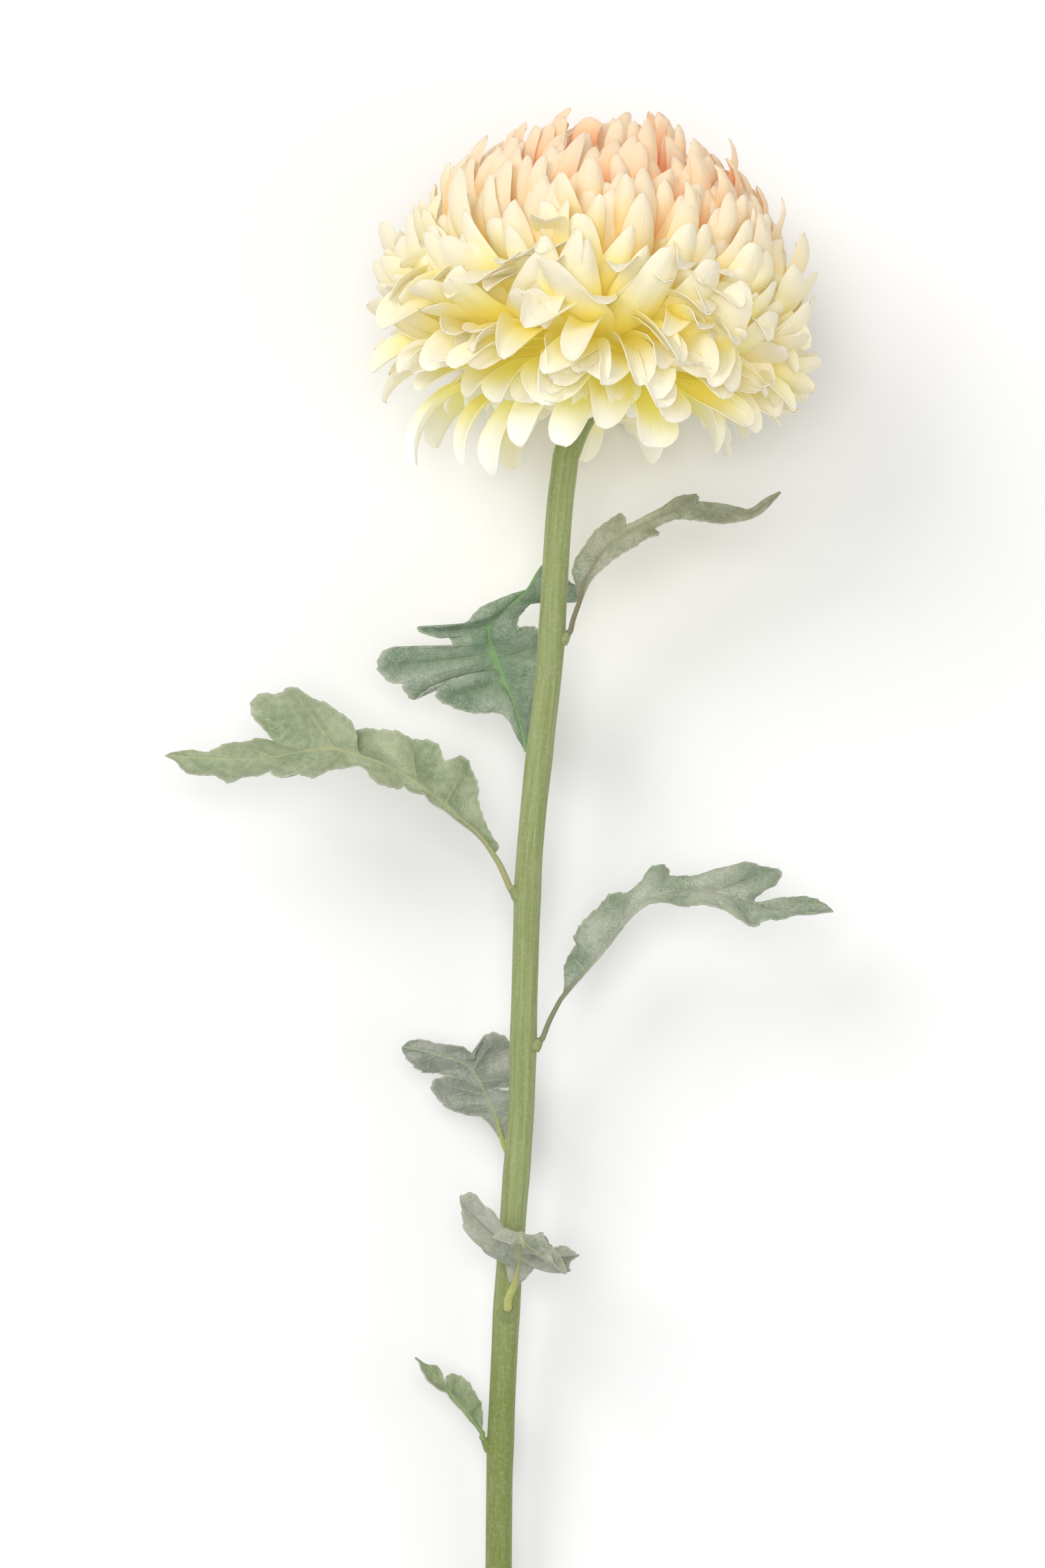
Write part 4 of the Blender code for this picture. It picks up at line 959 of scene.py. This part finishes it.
def one_petal(tip, phi, reach, crown, rng):
    """A petal for a tip, with its own small differences."""
    root = math.radians(np.interp(math.degrees(tip), TIP_ANGLES, ROOT_ANGLES))
    petal = {
        "root": root,
        "phi": phi,
        "bend": tip - root + math.radians(rng.gauss(0.0, 1.5)),
        "sway": math.radians(rng.gauss(0.0, 2.0)) / max(math.sin(tip), 0.35),
        "hook": rng.uniform(4.0, 22.0) if crown else rng.uniform(-8.0, 30.0),
        "half": rng.uniform(4.1, 4.9) if crown else rng.uniform(5.2, 6.5),
        "cup": rng.uniform(0.25, 0.45) if crown else rng.uniform(0.10, 0.40),
        "roll": math.radians(rng.gauss(0.0, 7.0 if crown else 12.0)),
        "reach": reach,
    }
    rng.random()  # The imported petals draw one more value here, so this keeps in step with them.
    if tip > math.radians(90.0):
        petal["hook"] *= -0.4
    return petal


def spread_petals(count, first, last, crown, seed, placed=()):
    """Petals laid out by the golden angle, each a little different."""
    rng = random.Random(seed)
    placed = [np.array(p) for p in placed]
    petals = [one_petal(*tip_place(p), crown, rng) for p in placed]
    for i in range(count):
        share = (i + 0.5) / count
        tip = math.acos(math.cos(first) - share * (math.cos(first) - math.cos(last)))
        phi = i * GOLDEN_ANGLE + rng.gauss(0.0, 0.04)
        tip = min(max(tip + math.radians(rng.uniform(-2.0, 2.0)), first), last)
        reach = head_reach(tip, phi) * (1.0 + rng.uniform(-0.055, 0.045))
        petal = one_petal(tip, phi, reach, crown, rng)
        end = HEAD_CENTRE + reach * head_frame(tip, phi)[0]
        if all(np.linalg.norm(end - p) > PLACED_CLEAR for p in placed):
            petals.append(petal)
    return petals


rays = spread_petals(RAY_COUNT, RAY_FIRST, RAY_LAST, crown=False, seed=11, placed=PLACED_TIPS)
crown = spread_petals(CROWN_COUNT, 0.0, CROWN_LAST, crown=True, seed=5)
print(len(rays), "ray petals and", len(crown), "crown petals")

# %% [markdown]
# Seen flat, a petal is a narrow claw that widens to nearly even sides and ends in a round or blunt
# tip. Most of its bend comes near the tip. The real head has also parted a little in front, so
# petals there are pushed away from one place, most of all those that are near it. The place is
# given by its angle from the top of the head and its turn round it.

# %% Petal outline and the parting
def bend_share(s):
    """How much of a petal's bend is reached at s: little near the root, most near the tip."""
    return 0.25 * s + 0.75 * s**3


def petal_profile(s, shoulder, blunt):
    """Half width along a petal: a narrow claw, nearly even sides, then a round tip."""
    rise = 0.22 + 0.78 * smoothstep(0.08, 0.58, s)
    end = np.clip(s - shoulder, 0.0, 1.0) / (1.0 - shoulder)
    fall = np.clip(1.0 - end**blunt, 0.0, 1.0) ** 0.5
    return rise * np.maximum(fall, 0.03)


PARTING = (math.radians(84.5), math.radians(84.0))
PARTING_PUSH = math.radians(10.0)
PARTING_SIZE = math.radians(16.0)


def open_parting(petal):
    """Lean petals away from the place in front where the real head has parted."""
    tip = petal["root"] + petal["bend"]
    down = tip - PARTING[0]
    round_about = (petal["phi"] - PARTING[1] + math.pi) % (2.0 * math.pi) - math.pi
    across = round_about * math.sin(tip)
    far = math.hypot(down, across)
    push = PARTING_PUSH * math.exp(-((far / PARTING_SIZE) ** 2))
    petal["bend"] += push * down / max(far, 0.02)
    petal["sway"] += push * across / max(far, 0.02)


share = petal_profile(0.3, 0.65, 2.0)
print("a third of the way up, a petal has", round(share, 2), "of its full width")

# %% [markdown]
# Cloth petals are pressed in a mould, so each one is a shallow scoop with a few lengthwise folds,
# and handling bends its tip and flutters its edge. Those details are sums of small waves with a
# different strength on every petal, drawn here with a seeded generator so that every run is the
# same. Many front petals round the middle stand out straighter, with their roots under their tips.

# %% What differs from petal to petal
SIDE_ROLL = math.radians(30.0)
TIP_TURNS_OVER = math.radians(92.0)


def disturb(petal, tip, middle, rng):
    """Turn a petal off its even place, most of all round the middle of the head."""
    unruly = math.radians(4.0 + 3.0 * middle)
    petal["bend"] += rng.gauss(0.0, unruly) * 0.6
    petal["sway"] += rng.gauss(0.0, unruly) / max(math.sin(tip), 0.35)
    petal["roll"] += rng.gauss(0.0, 2.0 * unruly + math.radians(4.0 * middle))
    upper = 1.0 if tip < TIP_TURNS_OVER else -1.0
    petal["roll"] += SIDE_ROLL * middle * upper * math.cos(petal["phi"])


def bow_out(petal, tip, middle, rng):
    """Start a petal further out from the top and bend it back to the same tip."""
    upward = smoothstep(78.0, 46.0, math.degrees(tip) + rng.uniform(-8.0, 8.0))
    out = math.radians(upward * rng.uniform(6.0, 14.0) + middle * rng.uniform(-3.0, 7.0))
    petal["root"] += out
    petal["bend"] -= out
    petal["curl"] = 1.05 + (0.15 + 0.35 * upward) * rng.uniform(0.4, 1.4)
    petal["cup"] += 0.12 + 0.12 * upward


def press_cloth(petal, tip, middle, rng):
    """Width, tip shape, folds and waves of one petal."""
    low = smoothstep(92.0, 112.0, math.degrees(tip))
    petal["half"] *= rng.uniform(0.94, 1.10) * (1.0 + 0.16 * middle + 0.14 * low)
    petal["shoulder"] = rng.uniform(0.52, 0.80)
    petal["blunt"] = rng.uniform(1.55, 2.8)
    petal["crease"] = rng.uniform(0.01, 0.06)
    petal["folds"] = rng.choice((2.0, 3.0, 4.0))
    petal["flutter"] = rng.uniform(0.02, 0.17)
    petal["phase"] = rng.uniform(0.0, 1.0)
    petal["notch"] = rng.uniform(-0.035, 0.03)
    petal["wrinkle"] = rng.uniform(0.0, 0.14)


def stand_out(petal, tip, rng):
    """Straighten many petals in front round the middle, and let some tips flop."""
    front = max(math.sin(petal["phi"]), 0.0) ** 0.7
    zone = smoothstep(63.0, 82.0, math.degrees(tip) + rng.uniform(-5.0, 5.0))
    zone *= smoothstep(112.0, 96.0, math.degrees(tip))
    petal["flop"] = rng.uniform(6.0, 26.0) if rng.random() < 0.3 else 0.0
    if rng.random() < 0.85 * front * zone:
        lean = math.radians(rng.uniform(7.0, 19.0)) * (0.25 + 0.75 * zone)
        petal["root"] += petal["bend"] - lean
        petal["bend"] = lean
        petal["hook"] = rng.uniform(-14.0, 4.0)


def add_details(petals, seed):
    """Folds, flutter and tip shapes, a set for each petal."""
    rng = random.Random(seed)
    for petal in petals:
        tip = petal["root"] + petal["bend"]
        middle = smoothstep(48.0, 72.0, math.degrees(tip))
        middle *= smoothstep(120.0, 102.0, math.degrees(tip))
        disturb(petal, tip, middle, rng)
        open_parting(petal)
        bow_out(petal, tip, middle, rng)
        press_cloth(petal, tip, middle, rng)
        stand_out(petal, tip, rng)
        petal["tone"] = rng.uniform(0.0, 1.0)
    return petals


print("petals roll up to", round(math.degrees(SIDE_ROLL)), "degrees more at the sides")

# %% [markdown]
# All petals of a kind are worked out at once, as arrays with a grid for each petal, because that is
# fast and keeps the formula short. A grid is a spine from the ball to the tip, widened across it and
# lifted by the scoop, the bent tip and the waves. Petals that would dip under the surface the flower
# lies on are shortened a little, again and again, until they only touch it.

# %% Petal surfaces
def columns_of(petals):
    """Every petal value as an array that lines up with a grid for each petal."""
    return {key: np.array([p[key] for p in petals])[:, None, None] for key in petals[0]}


def petal_spine(p, s):
    """Middle line of every petal at the shares s, and the way that goes round the head there."""
    out = 1.0 - np.maximum(1.0 - s, 0.0) ** p["curl"]
    radius = ROOT_RADIUS + (p["reach"] - ROOT_RADIUS) * out
    theta = p["root"] + p["bend"] * bend_share(s)
    phi = p["phi"] + p["sway"] * np.maximum(s, 0.0) ** 1.5
    outward, away, about = head_frame(theta, phi)
    return HEAD_CENTRE + radius[..., None] * outward, about


HOOK_FROM = 0.66
FLOP_FROM = 0.68


def petal_grid(p, s, t):
    """Middle surfaces of all petals at once."""
    half = p["half"] * petal_profile(s, p["shoulder"], p["blunt"])
    x = half * t
    tip_zone = smoothstep(0.6, 1.0, s)
    s = s - p["notch"] * np.exp(-((x / (0.35 * p["half"])) ** 2)) * tip_zone
    spine, about = petal_spine(p, s)
    ahead = unit(petal_spine(p, s + 0.01)[0] - petal_spine(p, s - 0.01)[0])
    face = np.cross(about, ahead)
    y = p["cup"] * half * t * t + p["hook"] * np.clip(s - HOOK_FROM, 0.0, 1.0) ** 2
    y = y - p["flop"] * np.clip(s - FLOP_FROM, 0.0, 1.0) ** 2
    open_part = smoothstep(0.25, 0.65, s)
    y = y + p["crease"] * half * np.cos(math.pi * p["folds"] * t + p["phase"]) * open_part
    y = y + p["flutter"] * half * np.sin(2.0 * math.pi * (1.7 * s + p["phase"])) * t * np.abs(t)
    y = y + p["wrinkle"] * np.sin(2.0 * math.pi * (6.0 * s + 1.3 * t + p["phase"])) * tip_zone
    roll = (p["roll"] * s)[..., None]
    wide = about * np.cos(roll) + face * np.sin(roll)
    face = face * np.cos(roll) - about * np.sin(roll)
    return spine + x[..., None] * wide + y[..., None] * face


PETAL_HALF_THICKNESS = 0.13
SHORTENING_ROUNDS = 40


def shaped(petals, detail):
    """Grids of all petals, shortened where they press on the surface."""
    p = columns_of(petals)
    body_rows, tip_rows, columns = detail
    body = np.linspace(0.0, 1.0, body_rows)[None, :, None]
    tip = np.sin(np.radians(90.0) * np.arange(1, tip_rows + 1) / tip_rows)[None, :, None]
    s = np.concatenate((body * p["shoulder"], p["shoulder"] + (1.0 - p["shoulder"]) * tip), axis=1)
    t = np.linspace(-1.0, 1.0, columns)[None, None, :]
    s, t = np.broadcast_arrays(s, t)
    for _ in range(SHORTENING_ROUNDS):
        grid = petal_grid(p, s, t)
        low = place(grid)[..., 2].min(axis=(1, 2)) / MM - PETAL_HALF_THICKNESS
        if low.min() >= 0.0:
            break
        p["reach"] = p["reach"] + (np.minimum(low, 0.0) * 1.03)[:, None, None]
    print("lowest petal is", round(float(low.min()), 3), "mm above the surface")
    return grid, s, t


def add_petals(parts, petals, detail):
    """Closed sheets of all petals, with the values that their dye reads."""
    grid, s, t = shaped(petals, detail)
    faces = sheet_faces(*grid.shape[1:3])
    for k, petal in enumerate(petals):
        points = sheet_points(grid[k], PETAL_HALF_THICKNESS)
        tip_angle = petal["root"] + petal["bend"]
        blush = smoothstep(math.radians(68.0), math.radians(24.0), tip_angle)
        low = smoothstep(math.radians(88.0), math.radians(125.0), tip_angle)
        parts.add(points, faces, along=np.tile(s[k].ravel(), 2), across=np.tile(t[k].ravel(), 2),
                  tone=petal["tone"], blush=blush, low=low)


print("a petal is", 2.0 * PETAL_HALF_THICKNESS, "mm thick")

# %% [markdown]
# The petals grow from a ball. It is two bodies, a cap for the crown and a bowl for the ray petals,
# that meet in a flat seat and a cone with a thin gap. Each outline is turned round the head's axis,
# like a pot on a wheel, and only its colour shows between the petals.

# %% The core under the petals
BORDER_RADIUS = 75.0
CORE_SIDES = 48
SEAT_OUT = 5.9
SEAT_UP = 4.0
CROWN_CORE_ANGLES = (45.0, 34.0, 22.0, 10.0)
RAY_CORE_ANGLES = (64.0, 76.0, 88.0, 100.0, 114.0, 127.0)


def border_angle(radius):
    """Angle from the top of the border between the two colours, at a distance from the middle."""
    s = np.clip((radius - ROOT_RADIUS) / (BORDER_RADIUS - ROOT_RADIUS), 0.0, 1.1)
    return BORDER_ROOT + BORDER_BEND * bend_share(s)


def core_outline(is_crown):
    """How far out and how far up the outline of one body of the ball goes, from the axis."""
    half_gap = 0.5 * JOINT_GAP / math.sin(BORDER_ROOT)
    lift = half_gap if is_crown else -half_gap
    border = border_angle(CORE_RADIUS)
    angles = np.radians(CROWN_CORE_ANGLES if is_crown else RAY_CORE_ANGLES)
    outline = [(0.0, SEAT_UP + lift), (SEAT_OUT, SEAT_UP + lift)]
    outline += [(CORE_RADIUS * math.sin(border), CORE_RADIUS * math.cos(border) + lift)]
    outline += [(CORE_RADIUS * math.sin(angle), CORE_RADIUS * math.cos(angle)) for angle in angles]
    if is_crown:
        return outline + [(0.0, CORE_RADIUS)]
    return outline + [(math.sqrt(CORE_RADIUS**2 - CORE_FLOOR**2), CORE_FLOOR), (0.0, CORE_FLOOR)]


def add_core(parts, is_crown):
    """One body of the ball, an outline turned round the axis of the head."""
    turns = ring_turns(CORE_SIDES)
    spokes = np.outer(np.cos(turns), RIGHT) + np.outer(np.sin(turns), FRONT)
    outline = core_outline(is_crown)
    rings = [HEAD_CENTRE + max(out, 0.05) * spokes + up * AXIS for out, up in outline]
    parts.add(np.concatenate(rings), ring_faces(len(rings), CORE_SIDES), along=0.0, across=0.0,
              tone=0.5, blush=1.0 if is_crown else 0.0, low=0.0)


print("the crown's core has", len(core_outline(True)), "rings")

# %% [markdown]
# The cloth is dyed by hand: strong yellow or coral at the root fades to ivory or blush at the tip,
# and no two petals match. The dye follows the length of the petal, with noise to make its edge
# uneven. A faint warm glow is painted light: it stands for the light that passes through such thin
# cloth, and it lifts the shade down between the petals and under the head.

# %% Petal finish
PETAL_GLOW = 0.2


def petal_look(name):
    """Dyed cloth that fades along the petal, in yellow, white or coral."""
    look = Look(name, Specular_IOR_Level=0.2, Sheen_Weight=0.08, Sheen_Roughness=0.5,
                Emission_Strength=PETAL_GLOW)
    along = look.value("along")
    across = look.value("across")
    tone = look.value("tone")
    blush = look.value("blush")
    low = look.value("low")
    spot = look.spot()
    cloud = look.noise(spot, 60.0, 3.0)
    grain = look.noise(spot, 2600.0, 2.0)
    reach = along + (cloud - 0.5) * 0.25 + (tone - 0.5) * 0.16
    fade = reach.step(0.42, 0.84)
    tip = reach.step(0.66, 1.0)

    def dye(root, body, end):
        """Three colours from the root to the tip."""
        return look.mix(tip, look.mix(fade, root, body), end)

    ivory = dye((0.86, 0.72, 0.07), (0.83, 0.76, 0.44), (0.80, 0.74, 0.58))
    pale = dye((0.84, 0.77, 0.20), (0.85, 0.83, 0.64), (0.87, 0.86, 0.79))
    peach = dye((0.90, 0.27, 0.11), (0.84, 0.53, 0.30), (0.81, 0.62, 0.43))
    colour = look.mix(blush, look.mix(low, ivory, pale), peach)
    colour = look.mix((1.0 - tone) * tip * 0.25, colour, (0.86, 0.83, 0.74))
    streak = (across * 26.0 + cloud * 9.0).math("SINE") * 0.5 + 0.5
    colour = look.mix(streak * 0.05, colour, (0.70, 0.60, 0.36))
    # Painted glow lifts shade: deep yellow or coral at the roots, paler and brighter on low tips.
    deep = look.mix(blush, (0.62, 0.58, 0.14), (0.80, 0.38, 0.20))
    glow = look.mix(reach.step(0.25, 0.95), deep, (0.52, 0.47, 0.30))
    glow = look.mix(low * tip, glow, (0.72, 0.70, 0.60))
    roughness = 0.70 + grain * 0.2
    crinkle = look.noise(spot, 260.0, 2.0) * tip
    height = streak * 0.06 + grain * 0.1 + crinkle * 0.8
    return look.finish(colour, roughness, height, 0.0005, glow)


print("petals glow at a strength of", PETAL_GLOW)

# %% [markdown]
# Shorter and narrower petals fill in between the long ones, as in the real head, where petals lie
# in layers. They have coarser grids, because most of each is hidden. The petals and the core of one
# colour make one mesh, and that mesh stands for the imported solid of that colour.

# %% The two petal bodies
FINE_PETAL = (8, 7, 9)
FILL_PETAL = (6, 5, 7)
RAY_FILL = {"count": 255, "first": math.radians(45.0), "last": math.radians(103.0)}
CROWN_FILL = {"count": 220, "first": 0.02, "last": math.radians(50.0)}
PETAL_SHARP = 80.0


def shorter(petals, seed, share, width):
    """Petals that fill in between the long ones, a little shorter and narrower."""
    rng = random.Random(seed)
    for petal in petals:
        kept = share * rng.uniform(0.95, 1.05)
        petal["reach"] = ROOT_RADIUS + (petal["reach"] - ROOT_RADIUS) * kept
        petal["half"] *= width * rng.uniform(0.93, 1.07)
    return petals


def petal_body(name, look, node, petals, fill, is_crown):
    """Long petals, the ones that fill in, and the core they grow from, as one piece."""
    body = Parts()
    add_petals(body, petals, FINE_PETAL)
    add_petals(body, fill, FILL_PETAL)
    add_core(body, is_crown)
    body.build(name, petal_look(look), node, PETAL_SHARP)


ray_fill = shorter(spread_petals(**RAY_FILL, crown=False, seed=23), seed=6, share=0.935, width=0.88)
crown_fill = shorter(spread_petals(**CROWN_FILL, crown=True, seed=29), seed=7, share=0.97, width=0.86)
rays, ray_fill = add_details(rays, seed=3), add_details(ray_fill, seed=8)
petal_body("ray_petal_cloth", "ray_cloth", "ray_petals", rays, ray_fill, is_crown=False)
crown, crown_fill = add_details(crown, seed=4), add_details(crown_fill, seed=9)
petal_body("crown_petal_cloth", "crown_cloth", "crown_petals", crown, crown_fill, is_crown=True)

# %% [markdown]
# The camera looks straight down on the plane of the stem, as a product photograph does, with a
# long lens so that near and far petals keep their sizes. The frame is two units wide to three high.
# Its height in millimetres is the height of the photograph divided by the scale of its pixels.

# %% Camera
PHOTO_HEIGHT = 2352.0
PIXELS_PER_MM = 4.6
FRAME_HEIGHT = PHOTO_HEIGHT / PIXELS_PER_MM
LENS = 150.0
SENSOR = 36.0
distance = FRAME_HEIGHT * LENS / SENSOR
middle = np.array((0.0, FRAME_HEIGHT / 2.0, 0.0))
eye = place(middle + np.array((0.0, 0.0, distance)))
forward = Vector(place(middle) - eye).normalized()
upward = Vector(place(middle + np.array((0.0, 1.0, 0.0))) - place(middle)).normalized()
sideward = forward.cross(upward)
camera_data = bpy.data.cameras.new("camera")
camera_data.lens = LENS
camera_data.sensor_width = SENSOR
camera_data.clip_end = 20.0
camera = bpy.data.objects.new("camera", camera_data)
bpy.context.scene.collection.objects.link(camera)
axes = Matrix((sideward, upward, -forward)).transposed().to_4x4()
camera.matrix_world = Matrix.Translation(Vector(eye)) @ axes
bpy.context.scene.camera = camera
print("camera is", round(distance), "mm from the stem's plane")

# %% [markdown]
# Flowers like this are photographed on white with big soft lamps. One panel at the upper left gives
# soft shape, one right over the flower lights its face, a weaker one at the right fills the shade,
# and a bright surround keeps the shadows thin. The Standard view keeps the pale cloth's colours.

# %% Light
LAMP_TARGET = Vector((0.0, 0.1, 0.05))
SURROUND = 0.48


def area_light(name, where, energy, size, tint):
    """A square lamp that looks at the middle of the object."""
    data = bpy.data.lights.new(name, "AREA")
    data.energy = energy
    data.size = size
    data.color = tint
    lamp = bpy.data.objects.new(name, data)
    lamp.location = where
    lamp.rotation_euler = (LAMP_TARGET - Vector(where)).to_track_quat("-Z", "Y").to_euler()
    bpy.context.scene.collection.objects.link(lamp)


area_light("key", (-1.1, 0.9, 1.7), 17.5, 1.1, (1.0, 0.99, 0.97))
area_light("front", (-0.1, -0.1, 2.4), 18.0, 0.9, (1.0, 1.0, 1.0))
area_light("fill", (1.4, -0.5, 1.5), 7.0, 1.6, (0.97, 0.98, 1.0))
world = bpy.data.worlds.new("studio")
world.use_nodes = True
surround = world.node_tree.nodes["Background"]
surround.inputs["Color"].default_value = (1.0, 1.0, 1.0, 1.0)
surround.inputs["Strength"].default_value = SURROUND
bpy.context.scene.world = world
bpy.context.scene.view_settings.view_transform = "Standard"
print("the surround has a strength of", SURROUND)

# %% [markdown]
# The floor is a plain sheet of pale paper, a little below the flower so that the two never touch.
# It belongs to the stage and not to the flower, which is what its last line says.

# %% Floor
FLOOR_DROP = 0.0002
floor_look = Look("floor_paper", Specular_IOR_Level=0.1)
floor_grain = floor_look.noise(floor_look.spot(), 400.0, 2.0)
floor_colour = floor_look.mix(floor_grain * 0.1, (0.93, 0.93, 0.93), (0.91, 0.91, 0.91))
floor_look.finish(floor_colour, floor_grain * 0.1 + 0.8, floor_grain, 0.00002)
floor_mesh = bpy.data.meshes.new("floor")
floor_shape = bmesh.new()
bmesh.ops.create_grid(floor_shape, x_segments=2, y_segments=2, size=4.0)
floor_shape.to_mesh(floor_mesh)
floor_shape.free()
floor_mesh.materials.append(floor_look.material)
floor = bpy.data.objects.new("floor", floor_mesh)
floor.location = (0.0, 0.0, -FLOOR_DROP)
bpy.context.scene.collection.objects.link(floor)
